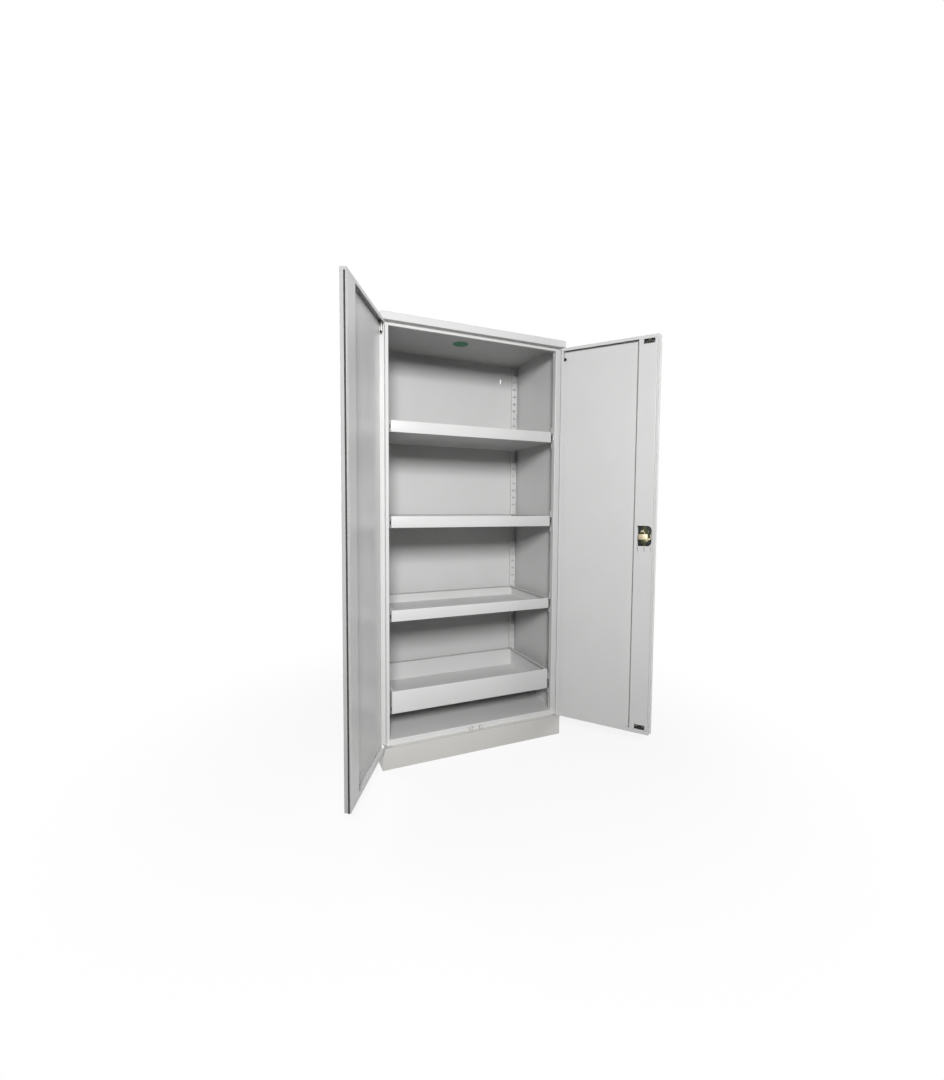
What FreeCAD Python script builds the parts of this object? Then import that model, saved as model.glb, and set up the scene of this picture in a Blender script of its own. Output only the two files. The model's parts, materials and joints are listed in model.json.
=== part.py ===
import FreeCAD, Part
import math
import os
from FreeCAD import Vector

os.makedirs("parts", exist_ok=True)

# Safety cabinet of folded steel sheet: two hinged doors, four trays on telescopic
# slides and a two-rod door lock. Millimetres. X runs to the right, Y to the back and
# Z up. The origin is on the floor, at the centre of the plinth. "Deep" distances are
# measured from the front face of the fascia and plinth, towards the back.

# Overall sizes
cabinet_width = 900.0
cabinet_depth = 500.0
cabinet_height = 1950.0

# Sheet metal
sheet = 1.2
bend_radius = 2.4
plinth_sheet = 1.5
foot_flange = 20.0
plinth_top_flange = 24.0

# Front frame
fascia_height = 33.0
plinth_height = 94.0
frame_setback = 27.0
post_width = 38.0
post_return = 26.0
header_drop = 14.0
header_return = 22.0
sill_rise = 24.0
edge_flange = 18.0
rear_flange = 40.0

# Slotted uprights and the slots that carry the tray rails. Only one slot in each step of four is
# cut in the rear ones, to keep the repeated holes few.
upright_depth = 12.8
front_upright_depth = 29.0
upright_inset = 4.0
slot_pitch = 20.625
slots_per_step = 4
slot_width = 4.0
slot_length = 12.0
first_slot_above_floor = 91.75
slot_end_margin = 20.0

# Roof outlet and wall fixing slots
vent_radius = 38.8
vent_wall = 1.2
vent_collar_length = 30.0
vent_flange = 120.0
plug_gap = 0.3
plug_thickness = 5.0
wall_slot_width = 6.6
wall_slot_length = 25.0
wall_slot_spacing = 686.0
wall_slot_below_top = 90.0

# Doors
door_thickness = 24.0
door_side_gap = 3.0
door_middle_gap = 4.0
door_corner_radius = 1.8
lip_hinge = 12.0
lip_free = 6.0
lip_top = 14.0
lip_bottom = 18.0
stile_width = 82.0
stile_seam = 0.4
left_open_angle = 118.1
right_open_angle = 128.0
cover_strip_width = 15.0
cover_strip_overlap = 7.0
cover_strip_sheet = 1.5
cover_strip_lift = 0.4
seal_width = 6.0
seal_height = 3.2
seal_from_back = 4.0
seal_top_inset = 12.0

# Door pivots
pivot_from_side = 6.0
pivot_from_face = 12.0
pin_radius = 3.5
pin_running_gap = 0.05
pin_reach = 14.0
pin_tail = 15.0
pin_drop = 54.0
bracket_sheet = 2.0
bracket_reach = 15.0
bracket_height = 32.0
bracket_top_inset = 14.0
pivot_plate_thickness = 3.0
pivot_plate_length = 44.0
pivot_plate_width = 20.0
lower_plate_thickness = 2.0
lower_pin_height = 16.0
bush_half = 4.2
bush_flange_half = 5.4
bush_flange = 0.7
bush_height = 13.0

# Lock, handle and rods
lock_from_free_edge = 42.0
lock_height = 1018.5
window_width = 62.0
window_height = 93.0
window_corner = 20.0
cup_flange_width = 66.0
cup_flange_height = 112.0
cup_flange_thickness = 1.8
cup_width = 56.0
cup_height = 100.0
cup_depth = 12.0
cup_wall = 2.0
grip_length = 52.0
grip_width = 11.0
grip_proud = 0.8
turn_disc_radius = 24.0
turn_disc_thickness = 2.5
journal_radius = 5.0
journal_gap = 0.05
square_drive = 7.0
key_radius = 4.5
key_gap = 0.05
key_depth = 9.0
key_slot_width = 1.6
case_width = 34.0
case_height = 66.0
case_thickness = 2.2
case_ear = 9.0
cam_throw = 14.0
cam_thickness = 2.0
cam_width = 13.0
cam_gap = 0.3
stop_distance = 13.0
cam_pin_radius = 2.5
cam_pin_play = 0.6
cam_screw_radius = 3.3
cam_screw_height = 1.8
rod_width = 12.0
rod_thickness = 2.5
rod_gap = 0.3
rod_foot_reach = 21.0
rod_foot_height = 17.0
rod_tip_inset = 2.5
rod_clearance = 0.6
handle_turn = 90.0
guide_width = 48.0
guide_height = 21.0
guide_from_lip = 2.4
guide_depth = 9.0
guide_side_gap = 4.0
guide_top_gap = 7.0
guide_slot_height = 3.0
clip_slot_width = 2.0
clip_slot_length = 22.0
clip_slot_spacing = 29.0
clip_slot_below = 4.0
lock_screw_radius = 3.4
lock_screw_height = 1.6

# Door buffers on the sill
buffer_width = 12.0
buffer_height = 8.0
buffer_gap = 0.4
buffer_spacing = 48.0
buffer_lift = 5.0

# Trays: the number of the slot that each tray's rail hooks into
tray_slots = [15, 10, 5, 0]
tray_wall_heights = [51.0, 51.0, 51.0, 100.0]
tray_front_setback = 40.0
tray_length = 402.0
tray_sheet = 1.2
tray_flange = 14.0
tray_front_flange = 9.0
tray_corner = 2.2

# Telescopic slides
slide_front_setback = 41.0
slide_length = 400.0
slide_height = 45.0
slide_above_tray_base = 1.5
slide_thickness = 12.7
slide_sheet = 1.2
slide_clear = 0.3
slide_lip = 3.2
middle_half_height = 17.0
inner_half_height = 11.8
member_bend = 1.6
cage_length = 220.0
cage_width = 4.4
cage_race_width = 2.6
catch_length = 30.0
catch_height = 15.0
rail_sheet = 1.5
rail_flange = 26.0
rail_margin = 3.0
hook_reach = 6.0
hook_drop = 4.0
hook_gap = 0.3

front_y = -cabinet_depth / 2
half_width = cabinet_width / 2
opening_half = half_width - post_width
floor_top = plinth_height + sill_rise
roof_underside = cabinet_height - sheet
fascia_bottom = cabinet_height - fascia_height
header_bottom = fascia_bottom - header_drop
back_inner = cabinet_depth - sheet
rear_flange_face = back_inner - sheet
upright_face = rear_flange_face - upright_depth
front_upright_face = frame_setback + sheet + front_upright_depth
door_width = half_width - door_middle_gap / 2
door_bottom = plinth_height + door_side_gap
door_top = fascia_bottom - door_side_gap
lip_plane = door_thickness - sheet
lock_u = door_width - lock_from_free_edge
cup_floor = cup_depth + cup_wall
cam_plane = cup_floor + case_thickness + cam_gap
rod_plane = cam_plane + cam_thickness + rod_gap
slide_half = opening_half - slide_clear
tray_half = slide_half - slide_thickness


def deep(distance):
    """The Y of a point that lies this far behind the front face."""
    return front_y + distance


def block(x0, x1, d0, d1, z0, z1):
    """A box between two X values, two distances from the front and two heights."""
    return Part.makeBox(x1 - x0, d1 - d0, z1 - z0, Vector(x0, deep(d0), z0))


def fuse(shapes):
    first = shapes[0]
    return first.multiFuse(shapes[1:]).removeSplitter() if len(shapes) > 1 else first


def cut(shape, tools):
    return shape.cut(Part.makeCompound(tools)) if tools else shape


def mirror_x(shape):
    return shape.mirror(Vector(0, 0, 0), Vector(1, 0, 0))


def pair(shape):
    """The right-hand piece together with its mirror image on the left."""
    return Part.makeCompound([shape, mirror_x(shape)])


def save(name, shape):
    for solid in shape.Solids:
        if not solid.isValid() or solid.Volume <= 0:
            raise RuntimeError(name + " is not a valid solid")
    shape.exportStep("parts/" + name + ".step")
    print(name, len(shape.Solids), "solid(s)", round(sum(s.Volume for s in shape.Solids)))


def ribbon(points, gauge, radius, place, sweep, flat_bends=False):
    """A folded sheet: a centre line with rounded bends, as thick as gauge, swept along a vector.

    points are pairs in the profile's plane, and place turns such a pair into a Vector. Small
    rolled sections have flat_bends, where each bend is one sloping face.
    """
    half = gauge / 2
    count = len(points)
    heading = []
    for index in range(count - 1):
        run_x = points[index + 1][0] - points[index][0]
        run_y = points[index + 1][1] - points[index][1]
        size = math.hypot(run_x, run_y)
        heading.append((run_x / size, run_y / size))
    sides = {1: [], -1: []}
    for side, edges in sides.items():
        start = (points[0][0] - side * half * heading[0][1], points[0][1] + side * half * heading[0][0])
        for index in range(1, count - 1):
            ahead = heading[index]
            behind = heading[index - 1]
            turn = behind[0] * ahead[1] - behind[1] * ahead[0]
            angle = math.atan2(turn, behind[0] * ahead[0] + behind[1] * ahead[1])
            reach = radius * math.tan(abs(angle) / 2)
            sense = 1 if angle > 0 else -1
            corner = points[index]
            entry = (corner[0] - reach * behind[0], corner[1] - reach * behind[1])
            centre = (entry[0] - sense * radius * behind[1], entry[1] + sense * radius * behind[0])
            own = radius - side * sense * half
            first = (centre[0] + sense * own * behind[1], centre[1] - sense * own * behind[0])
            last = (centre[0] + sense * own * ahead[1], centre[1] - sense * own * ahead[0])
            mid_x = behind[1] + ahead[1]
            mid_y = -behind[0] - ahead[0]
            mid_size = math.hypot(mid_x, mid_y)
            middle = (
                centre[0] + sense * own * mid_x / mid_size,
                centre[1] + sense * own * mid_y / mid_size,
            )
            edges.append(Part.LineSegment(place(*start), place(*first)).toShape())
            if flat_bends:
                edges.append(Part.LineSegment(place(*first), place(*last)).toShape())
            else:
                edges.append(Part.Arc(place(*first), place(*middle), place(*last)).toShape())
            start = last
        end = (
            points[-1][0] - side * half * heading[-1][1],
            points[-1][1] + side * half * heading[-1][0],
        )
        edges.append(Part.LineSegment(place(*start), place(*end)).toShape())
    near = sides[1]
    far = sides[-1]
    caps = [
        Part.LineSegment(near[0].Vertexes[0].Point, far[0].Vertexes[0].Point).toShape(),
        Part.LineSegment(near[-1].Vertexes[-1].Point, far[-1].Vertexes[-1].Point).toShape(),
    ]
    wire = Part.Wire(Part.__sortEdges__(near + far + caps))
    return Part.Face(wire).extrude(sweep)


def side_view(distance, height):
    """A place in the cabinet's side view, at X = 0."""
    return Vector(0, deep(distance), height)


def plan_view(x, distance):
    """A place in the cabinet's plan, at Z = 0."""
    return Vector(x, deep(distance), 0)


def corner_reliefs(low, high):
    """Notches for the two rear corners of a panel, clear of the side panels' rear bends."""
    inside = half_width - sheet
    notch = bend_radius
    back = rear_flange_face + sheet
    return [
        block(-inside - sheet, -inside + notch, rear_flange_face - notch, back, low, high),
        block(inside - notch, inside + sheet, rear_flange_face - notch, back, low, high),
    ]


def rounded(shape, radius, wanted):
    """The shape with the chosen edges rounded: wanted gets an edge's two end points."""
    edges = []
    for edge in shape.Edges:
        if wanted(edge.Vertexes[0].Point, edge.Vertexes[-1].Point):
            edges.append(edge)
    return shape.makeFillet(radius, edges)


def level(value, *coordinates):
    """True when all the coordinates have this value."""
    return all(abs(coordinate - value) < 1e-6 for coordinate in coordinates)


def side_panel():
    """The right wall: front post with its return, outer wall and rear flange, one folded sheet."""
    half = sheet / 2
    low = plinth_height
    high = roof_underside
    points = [
        (opening_half + half, frame_setback + post_return),
        (opening_half + half, frame_setback + half),
        (half_width - half, frame_setback + half),
        (half_width - half, back_inner - half),
        (half_width - rear_flange, back_inner - half),
    ]
    wall = ribbon(points, sheet, bend_radius, plan_view, Vector(0, 0, high - low))
    wall.translate(Vector(0, 0, low))
    return wall


def roof_panel():
    """The roof with its folded fascia, the header behind the doors' top edge and rear flange."""
    half = sheet / 2
    high = cabinet_height - half
    under = fascia_bottom + half
    points = [
        (back_inner - sheet - half, high - edge_flange),
        (back_inner - sheet - half, high),
        (half, high),
        (half, under),
        (frame_setback, under),
    ]
    inside = half_width - sheet
    shell = ribbon(points, sheet, bend_radius, side_view, Vector(2 * inside, 0, 0))
    shell.translate(Vector(-inside, 0, 0))
    ends = []
    for edge in (-half_width, inside):
        end = block(edge, edge + sheet, 0, frame_setback, fascia_bottom, cabinet_height)
        ends.append(
            rounded(
                end,
                bend_radius + half,
                lambda first, last: level(deep(0), first.y, last.y) and level(first.z, last.z),
            )
        )
        ends.append(
            block(
                edge,
                edge + sheet,
                frame_setback - sheet,
                back_inner - bend_radius,
                roof_underside,
                cabinet_height,
            )
        )
    header = [
        (frame_setback + half, under + edge_flange),
        (frame_setback + half, header_bottom + half),
        (frame_setback + header_return, header_bottom + half),
    ]
    rail = ribbon(header, sheet, bend_radius, side_view, Vector(2 * opening_half, 0, 0))
    rail.translate(Vector(-opening_half, 0, 0))
    roof = fuse([shell] + ends + [rail])
    outlet = Part.makeCylinder(vent_radius, 2 * sheet, Vector(0, 0, cabinet_height - 2 * sheet))
    tools = [outlet] + corner_reliefs(roof_underside - 2 * edge_flange, roof_underside)
    wide = pin_radius + 2 * rod_clearance
    for hand in (-1, 1):
        x = hand * (half_width - pivot_from_side)
        tools.append(
            block(
                x - wide,
                x + wide,
                pivot_from_face - wide,
                pivot_from_face + wide,
                fascia_bottom - sheet,
                fascia_bottom + 2 * sheet,
            )
        )
    tools.append(rod_slot(fascia_bottom - sheet, 3 * sheet))
    return cut(roof, tools)


def pivot_hole(hand, radius, low, height):
    """A round hole on a door's pivot axis: hand is 1 on the right and -1 on the left."""
    x = hand * (half_width - pivot_from_side)
    return Part.makeCylinder(radius, height, Vector(x, deep(pivot_from_face), low))


def rod_slot(low, height):
    """The slot that a lock rod enters when the doors are shut."""
    x = half_width - lock_u
    wide = rod_width / 2 + rod_clearance
    return block(
        x - wide,
        x + wide,
        rod_plane - rod_clearance,
        rod_plane + rod_thickness + rod_clearance,
        low,
        low + height,
    )


def vent_collar():
    """A duct spigot with a flange, seated on the roof over the outlet."""
    outer = vent_radius + vent_wall
    corner = Vector(-vent_flange / 2, -vent_flange / 2, cabinet_height)
    flange = Part.makeBox(vent_flange, vent_flange, vent_wall, corner)
    tube = Part.makeCylinder(outer, vent_collar_length, Vector(0, 0, cabinet_height))
    bore = Part.makeCylinder(vent_radius, vent_collar_length, Vector(0, 0, cabinet_height))
    return fuse([flange, tube]).cut(bore)


def outlet_plug():
    """The push-in disc that closes the outlet from inside, flush with the ceiling."""
    return Part.makeCylinder(vent_radius - plug_gap, plug_thickness, Vector(0, 0, roof_underside))


def plinth():
    """The base: a ring of folded sheet with a foot flange, a top flange and the front ledge."""
    gauge = plinth_sheet
    outer = block(-half_width, half_width, 0, cabinet_depth, 0, plinth_height)
    outer = rounded(outer, bend_radius, lambda first, last: not level(first.z, last.z))
    hollow = block(
        -half_width + gauge, half_width - gauge, gauge, cabinet_depth - gauge, gauge, plinth_height - gauge
    )
    foot = block(
        -half_width + foot_flange,
        half_width - foot_flange,
        foot_flange,
        cabinet_depth - foot_flange,
        0,
        gauge,
    )
    top = block(
        -half_width + plinth_top_flange,
        half_width - plinth_top_flange,
        frame_setback + plinth_top_flange,
        cabinet_depth - plinth_top_flange,
        plinth_height - gauge,
        plinth_height,
    )
    keeper = rod_slot(plinth_height - 2 * gauge, 3 * gauge)
    return cut(outer, [hollow, foot, top, keeper])


def floor_panel():
    """The cabinet floor, with the sill in front and flanges down the other three sides."""
    half = sheet / 2
    high = floor_top - half
    inside = half_width - sheet
    front = [
        (frame_setback + half, plinth_height),
        (frame_setback + half, high),
        (frame_setback + post_return + front_upright_depth, high),
    ]
    sill = ribbon(front, sheet, bend_radius, side_view, Vector(2 * opening_half, 0, 0))
    sill.translate(Vector(-opening_half, 0, 0))
    start = frame_setback + sheet + front_upright_depth + hook_reach
    deck = block(-inside, inside, start, rear_flange_face, floor_top - sheet, floor_top)
    tongue = block(
        -opening_half, opening_half, start - bend_radius, start + bend_radius, floor_top - sheet, floor_top
    )
    low = floor_top - edge_flange
    flanges = [
        block(-inside, -inside + sheet, start, rear_flange_face, low, floor_top),
        block(inside - sheet, inside, start, rear_flange_face, low, floor_top),
        block(-inside, inside, rear_flange_face - sheet, rear_flange_face, low, floor_top),
    ]
    return cut(fuse([sill, deck, tongue] + flanges), corner_reliefs(low - sheet, floor_top + sheet))


def back_panel():
    """The rear wall, with two upright slots for fixing the cabinet to a wall."""
    inside = half_width - bend_radius
    panel = block(-inside, inside, back_inner, cabinet_depth, plinth_height, cabinet_height - sheet)
    tools = []
    height = cabinet_height - wall_slot_below_top
    wide = wall_slot_width / 2
    tall = wall_slot_length / 2
    start = back_inner - sheet
    for side in (-1, 1):
        x = side * wall_slot_spacing / 2
        tools.append(block(x - wide, x + wide, start, start + 3 * sheet, height - tall, height + tall))
    return cut(panel, tools)


def slot_heights():
    """The heights of the centres of all the slots in an upright."""
    first = floor_top + first_slot_above_floor
    room = roof_underside - edge_flange - slot_end_margin - first
    step = slot_step()
    return [first + number * step for number in range(int(room // step) + 1)]


def slot_step():
    """The distance between two of the slots that are cut."""
    return slots_per_step * slot_pitch


def slot_x():
    return opening_half + sheet + rail_flange / 2


def rail_slots():
    """The heights of the slots that the rails hook into."""
    heights = []
    for number in tray_slots:
        middle = rail_middle(number)
        heights += [middle - slot_step() / 2, middle + slot_step() / 2]
    return heights


def slotted(shape, face, heights):
    """The upright with slots at these heights, through the web that starts at this distance."""
    x = slot_x()
    tools = []
    for height in heights:
        tools.append(
            block(
                x - slot_width / 2,
                x + slot_width / 2,
                face - sheet,
                face + 2 * sheet,
                height - slot_length / 2,
                height + slot_length / 2,
            )
        )
    return cut(shape, tools)


def rear_upright():
    """A channel in the rear corner whose slotted web faces the front."""
    half = sheet / 2
    low_x = opening_half + half
    high_x = half_width - sheet - upright_inset
    points = [
        (low_x, rear_flange_face),
        (low_x, upright_face + half),
        (high_x, upright_face + half),
        (high_x, rear_flange_face),
    ]
    height = roof_underside - edge_flange - floor_top
    shape = ribbon(points, sheet, bend_radius, plan_view, Vector(0, 0, height), True)
    shape.translate(Vector(0, 0, floor_top))
    return slotted(shape, upright_face, slot_heights())


def front_upright():
    """A channel that closes the back of the front post; its slotted web faces the rear.

    The post hides it, so it has only the slots that the rails use.
    """
    half = sheet / 2
    low_x = opening_half + sheet + half
    high_x = half_width - sheet - upright_inset
    start = frame_setback + half + bend_radius
    web = front_upright_face - half
    points = [(low_x, start), (low_x, web), (high_x, web), (high_x, start)]
    height = roof_underside - plinth_height
    shape = ribbon(points, sheet, bend_radius, plan_view, Vector(0, 0, height), True)
    shape.translate(Vector(0, 0, plinth_height))
    return slotted(shape, front_upright_face - sheet, rail_slots())


def rail_middle(slot_number):
    """The height of a rail's centre: halfway between the two slots that it hooks into."""
    return floor_top + first_slot_above_floor + (slot_number + 0.5) * slot_step()


def tray_base(slot_number):
    return rail_middle(slot_number) - slide_height / 2 - slide_above_tray_base


def rail_hook(start, direction, height):
    """A tab that passes through a slot, with a nose that hangs down behind the upright's web."""
    x = slot_x()
    wide = slot_width / 2 - hook_gap
    tall = slot_length / 2 - hook_gap
    web = start + direction * (rail_sheet / 2 + sheet + hook_gap)
    tip = start + direction * hook_reach
    outline = [
        (start, height + tall),
        (tip, height + tall),
        (tip, height - tall - hook_drop),
        (web, height - tall),
        (web, height - tall + hook_drop),
        (start, height - tall + hook_drop),
    ]
    corners = [Vector(x - wide, deep(distance), z) for distance, z in outline]
    return Part.Face(Part.makePolygon(corners + [corners[0]])).extrude(Vector(2 * wide, 0, 0))


def tray_rail(slot_number):
    """The side bracket that hooks into the front and rear uprights and carries a slide."""
    half = rail_sheet / 2
    web = slide_half + half
    reach = slot_x() + slot_width
    points = [
        (reach, front_upright_face + half),
        (web, front_upright_face + half),
        (web, upright_face - half),
        (reach, upright_face - half),
    ]
    middle = rail_middle(slot_number)
    height = slot_step() + slot_length + 2 * rail_margin
    shape = ribbon(points, rail_sheet, bend_radius, plan_view, Vector(0, 0, height), True)
    shape.translate(Vector(0, 0, middle - height / 2))
    pieces = [shape]
    for height in (middle - slot_step() / 2, middle + slot_step() / 2):
        pieces.append(rail_hook(front_upright_face + half, -1, height))
        pieces.append(rail_hook(upright_face - half, 1, height))
    return fuse(pieces)


def slide_member(profile, low, length):
    """A rolled slide section: pairs of (distance from the rail, height from the middle)."""

    def place(offset, height):
        return Vector(slide_half - offset, deep(slide_front_setback), low + height)

    return ribbon(profile, slide_sheet, member_bend, place, Vector(0, length, 0), True)


def outer_member(slot_number):
    half = slide_sheet / 2
    top = slide_height / 2 - half
    lip = slide_thickness - slide_lip
    profile = [
        (lip, top - slide_lip),
        (lip, top),
        (half, top),
        (half, -top),
        (lip, -top),
        (lip, -top + slide_lip),
    ]
    return slide_member(profile, rail_middle(slot_number), slide_length)


def middle_web():
    """How far the middle member's web lies from the rail."""
    return 2 * slide_sheet + 1.5 * slide_sheet


def middle_member(slot_number):
    half = slide_sheet / 2
    top = middle_half_height - half
    reach = slide_thickness - slide_sheet - 4 * slide_clear
    web = middle_web()
    profile = [(reach, top), (web, top), (web, -top), (reach, -top)]
    return slide_member(profile, rail_middle(slot_number), slide_length)


def inner_member(slot_number):
    half = slide_sheet / 2
    top = inner_half_height - half
    reach = middle_web() + 2 * slide_sheet
    web = slide_thickness - half
    profile = [(reach, top), (web, top), (web, -top), (reach, -top)]
    return slide_member(profile, rail_middle(slot_number), slide_length)


def ball_cage(slot_number):
    """Four retainers with a raised row for their balls, on both faces of the middle member."""
    middle = rail_middle(slot_number)
    start = slide_front_setback + (slide_length - cage_length) / 2
    end = start + cage_length
    gauge = slide_sheet
    lip_face = slide_thickness - slide_lip - gauge / 2
    web_face = middle_web() - gauge / 2
    outer_race = slide_half - (web_face + lip_face) / 2
    inner_race = slide_half - (web_face + slide_thickness) / 2
    races = [
        (outer_race, middle_half_height, 1, slide_height / 2 - gauge - slide_clear),
        (inner_race, middle_half_height - gauge, -1, inner_half_height + slide_clear),
    ]
    cages = []
    for side in (-1, 1):
        for centre, seat, sense, limit in races:
            seat_z = middle + side * seat
            base_z = seat_z + side * sense * gauge
            far_z = middle + side * limit
            outline = [
                (-cage_width / 2, seat_z),
                (cage_width / 2, seat_z),
                (cage_width / 2, base_z),
                (cage_race_width / 2, far_z),
                (-cage_race_width / 2, far_z),
                (-cage_width / 2, base_z),
            ]
            corners = [Vector(centre + x, deep(start), z) for x, z in outline]
            face = Part.Face(Part.makePolygon(corners + [corners[0]]))
            cages.append(face.extrude(Vector(0, end - start, 0)))
    return Part.makeCompound(cages)


def slide_catch(slot_number):
    """The plastic release lever in the front end of the inner member."""
    middle = rail_middle(slot_number)
    near = slide_half - slide_thickness + slide_sheet
    far = near + 2.6 * slide_sheet
    body = block(
        near,
        far,
        slide_front_setback - slide_sheet,
        slide_front_setback + catch_length,
        middle - catch_height / 2,
        middle + catch_height / 2,
    )
    finger = block(
        near,
        far + slide_sheet,
        slide_front_setback - slide_sheet,
        slide_front_setback + catch_length / 4,
        middle - catch_height / 2,
        middle - catch_height / 6,
    )
    return fuse([body, finger])


def tray(slot_number, wall_height):
    """A spill tray with inward flanges on all four walls and rounded front corners."""
    low = tray_base(slot_number)
    high = low + wall_height
    start = tray_front_setback
    end = start + tray_length
    shell = block(-tray_half, tray_half, start, end, low, high)
    shell = rounded(
        shell,
        tray_corner,
        lambda first, last: level(deep(start), first.y) and not level(first.z, last.z),
    )
    gauge = tray_sheet
    hollow = block(
        -tray_half + gauge, tray_half - gauge, start + gauge, end - gauge, low + gauge, high - gauge
    )
    mouth = block(
        -tray_half + tray_flange,
        tray_half - tray_flange,
        start + tray_front_flange,
        end - tray_flange,
        high - 2 * gauge,
        high + gauge,
    )
    return cut(shell, [hollow, mouth])


def door_place(shape, hand):
    """Door space is (u, w, z): u from the hinged edge, w from the outer face inwards.

    A shape drawn there is put in the cabinet, doors shut, and then swung open to rest.
    """
    if hand > 0:
        shape = mirror_x(shape)
    shape.translate(Vector(hand * half_width, front_y, 0))
    pivot = Vector(hand * (half_width - pivot_from_side), deep(pivot_from_face), 0)
    angle = right_open_angle if hand > 0 else -left_open_angle
    shape.rotate(pivot, Vector(0, 0, 1), angle)
    return shape


def slab(u0, u1, w0, w1, z0, z1):
    """A box in door space."""
    return Part.makeBox(u1 - u0, w1 - w0, z1 - z0, Vector(u0, w0, z0))


def rod_hole(z0, z1):
    """The slot for a lock rod in a door's top or bottom return, in door space."""
    wide = rod_width / 2 + rod_clearance
    return slab(
        lock_u - wide,
        lock_u + wide,
        rod_plane - rod_clearance,
        rod_plane + rod_thickness + rod_clearance,
        z0,
        z1,
    )


def door_pan(hand):
    """The outer skin of a door, folded back on four sides, each with a lip inwards."""
    shell = slab(0, door_width, 0, door_thickness, door_bottom, door_top)
    shell = rounded(
        shell,
        door_corner_radius,
        lambda first, last: level(0, first.y, last.y) and not level(first.z, last.z),
    )
    gauge = sheet
    hollow = slab(
        gauge, door_width - gauge, gauge, lip_plane, door_bottom + gauge, door_top - gauge
    )
    window = slab(
        lip_hinge,
        door_width - lip_free,
        lip_plane - gauge,
        door_thickness + gauge,
        door_bottom + lip_bottom,
        door_top - lip_top,
    )
    axis = Vector(pivot_from_side, pivot_from_face, 0)
    tools = [hollow, window]
    top_hole = Vector(axis.x, axis.y, door_top - 2 * gauge)
    tools.append(Part.makeCylinder(pin_radius + pin_running_gap, 3 * gauge, top_hole))
    tools.append(bush_block(bush_half, door_bottom - gauge, door_bottom + 2 * gauge))
    if hand > 0:
        tools.append(rod_hole(door_top - 2 * gauge, door_top + gauge))
        tools.append(rod_hole(door_bottom - gauge, door_bottom + 2 * gauge))
        tools.append(d_shape(cup_width, cup_height, -gauge, 2 * gauge))
    return cut(shell, tools)


def d_shape(width, height, w0, w1):
    """A prism with a straight side towards the hinge and two round corners at the free edge."""
    corner = min(window_corner, width / 2, height / 2)
    left = lock_u - width / 2
    right = lock_u + width / 2
    low = lock_height - height / 2
    high = lock_height + height / 2
    shape = slab(left, right, w0, w1, low, high)
    return rounded(
        shape,
        corner,
        lambda first, last: level(right, first.x, last.x) and not level(first.y, last.y),
    )


def guide_centres():
    """The heights of the centres of the two rod guides."""
    step = guide_from_lip + guide_height / 2
    low = door_bottom + lip_bottom + step
    high = door_top - lip_top - step
    return [low, high]


def door_stile(hand):
    """The stiffening channel along a door's free edge, which also covers the lock rods."""
    half = sheet / 2
    low = door_bottom + lip_bottom + stile_seam
    high = door_top - lip_top - stile_seam
    far = door_width - lip_free - stile_seam
    near = door_width - lip_free - stile_width
    points = [
        (near + half, sheet),
        (near + half, door_thickness - half),
        (far - half, door_thickness - half),
        (far - half, sheet),
    ]

    def place(u, w):
        return Vector(u, w, low)

    shape = ribbon(points, sheet, bend_radius, place, Vector(0, 0, high - low))
    if hand < 0:
        return shape
    tools = [d_shape(window_width, window_height, lip_plane - sheet, door_thickness + sheet)]
    for centre in guide_centres():
        tools.append(
            slab(
                lock_u - guide_width / 2,
                lock_u + guide_width / 2,
                lip_plane - sheet,
                door_thickness + sheet,
                centre - guide_height / 2,
                centre + guide_height / 2,
            )
        )
    top = lock_height - window_height / 2 - clip_slot_below
    for number in (-1, 0, 1):
        u = lock_u + number * clip_slot_spacing
        u = min(u, far - 2 * bend_radius - clip_slot_width)
        tools.append(
            slab(
                u - clip_slot_width / 2,
                u + clip_slot_width / 2,
                lip_plane - sheet,
                door_thickness + sheet,
                top - clip_slot_length,
                top,
            )
        )
    return cut(shape, tools)


def door_seal():
    """The soft strip on the left door's free edge, which meets the right door's edge."""
    high = door_thickness - seal_from_back
    low = high - seal_width
    base = slab(
        door_width,
        door_width + seal_height,
        low,
        high,
        door_bottom,
        door_top - seal_top_inset,
    )
    tip = door_width + seal_height
    return rounded(
        base,
        seal_height / 3,
        lambda first, last: level(tip, first.x, last.x) and not level(first.z, last.z),
    )


def cover_strip():
    """The strip on the right door's outer face that laps over the left door's edge."""
    half = cover_strip_sheet / 2
    start = door_width - cover_strip_width + cover_strip_overlap
    jog = door_width - door_corner_radius

    def place(u, w):
        return Vector(u, w, door_bottom)

    points = [
        (start, -half),
        (jog - cover_strip_sheet, -half),
        (jog, -half - cover_strip_lift),
        (door_width + cover_strip_overlap, -half - cover_strip_lift),
    ]
    return ribbon(points, cover_strip_sheet, cover_strip_sheet, place, Vector(0, 0, door_top - door_bottom))


def hinge_pin():
    """The bent steel pin that holds the top of a door: it reaches up into the fascia."""
    high = door_top + pin_reach
    low = door_top - pin_drop
    axis_u = pivot_from_side
    axis_w = pivot_from_face
    wide = 2 * pin_radius
    knee = low + pin_radius
    spine = Part.makeCylinder(pin_radius, high - low, Vector(axis_u, axis_w, low))
    start = Vector(axis_u - pin_radius, axis_w, knee)
    tail = Part.makeCylinder(pin_radius, pin_tail + pin_radius, start, Vector(1, 0, 0))
    mitre = []
    for lone in ((wide, -wide), (-wide, wide)):
        corners = []
        for u, z in ((-wide, -wide), lone, (wide, wide), (-wide, -wide)):
            corners.append(Vector(axis_u + u, axis_w - wide, knee + z))
        mitre.append(Part.Face(Part.makePolygon(corners)).extrude(Vector(0, 2 * wide, 0)))
    return spine.cut(mitre[0]).fuse(tail.cut(mitre[1]))


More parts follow.
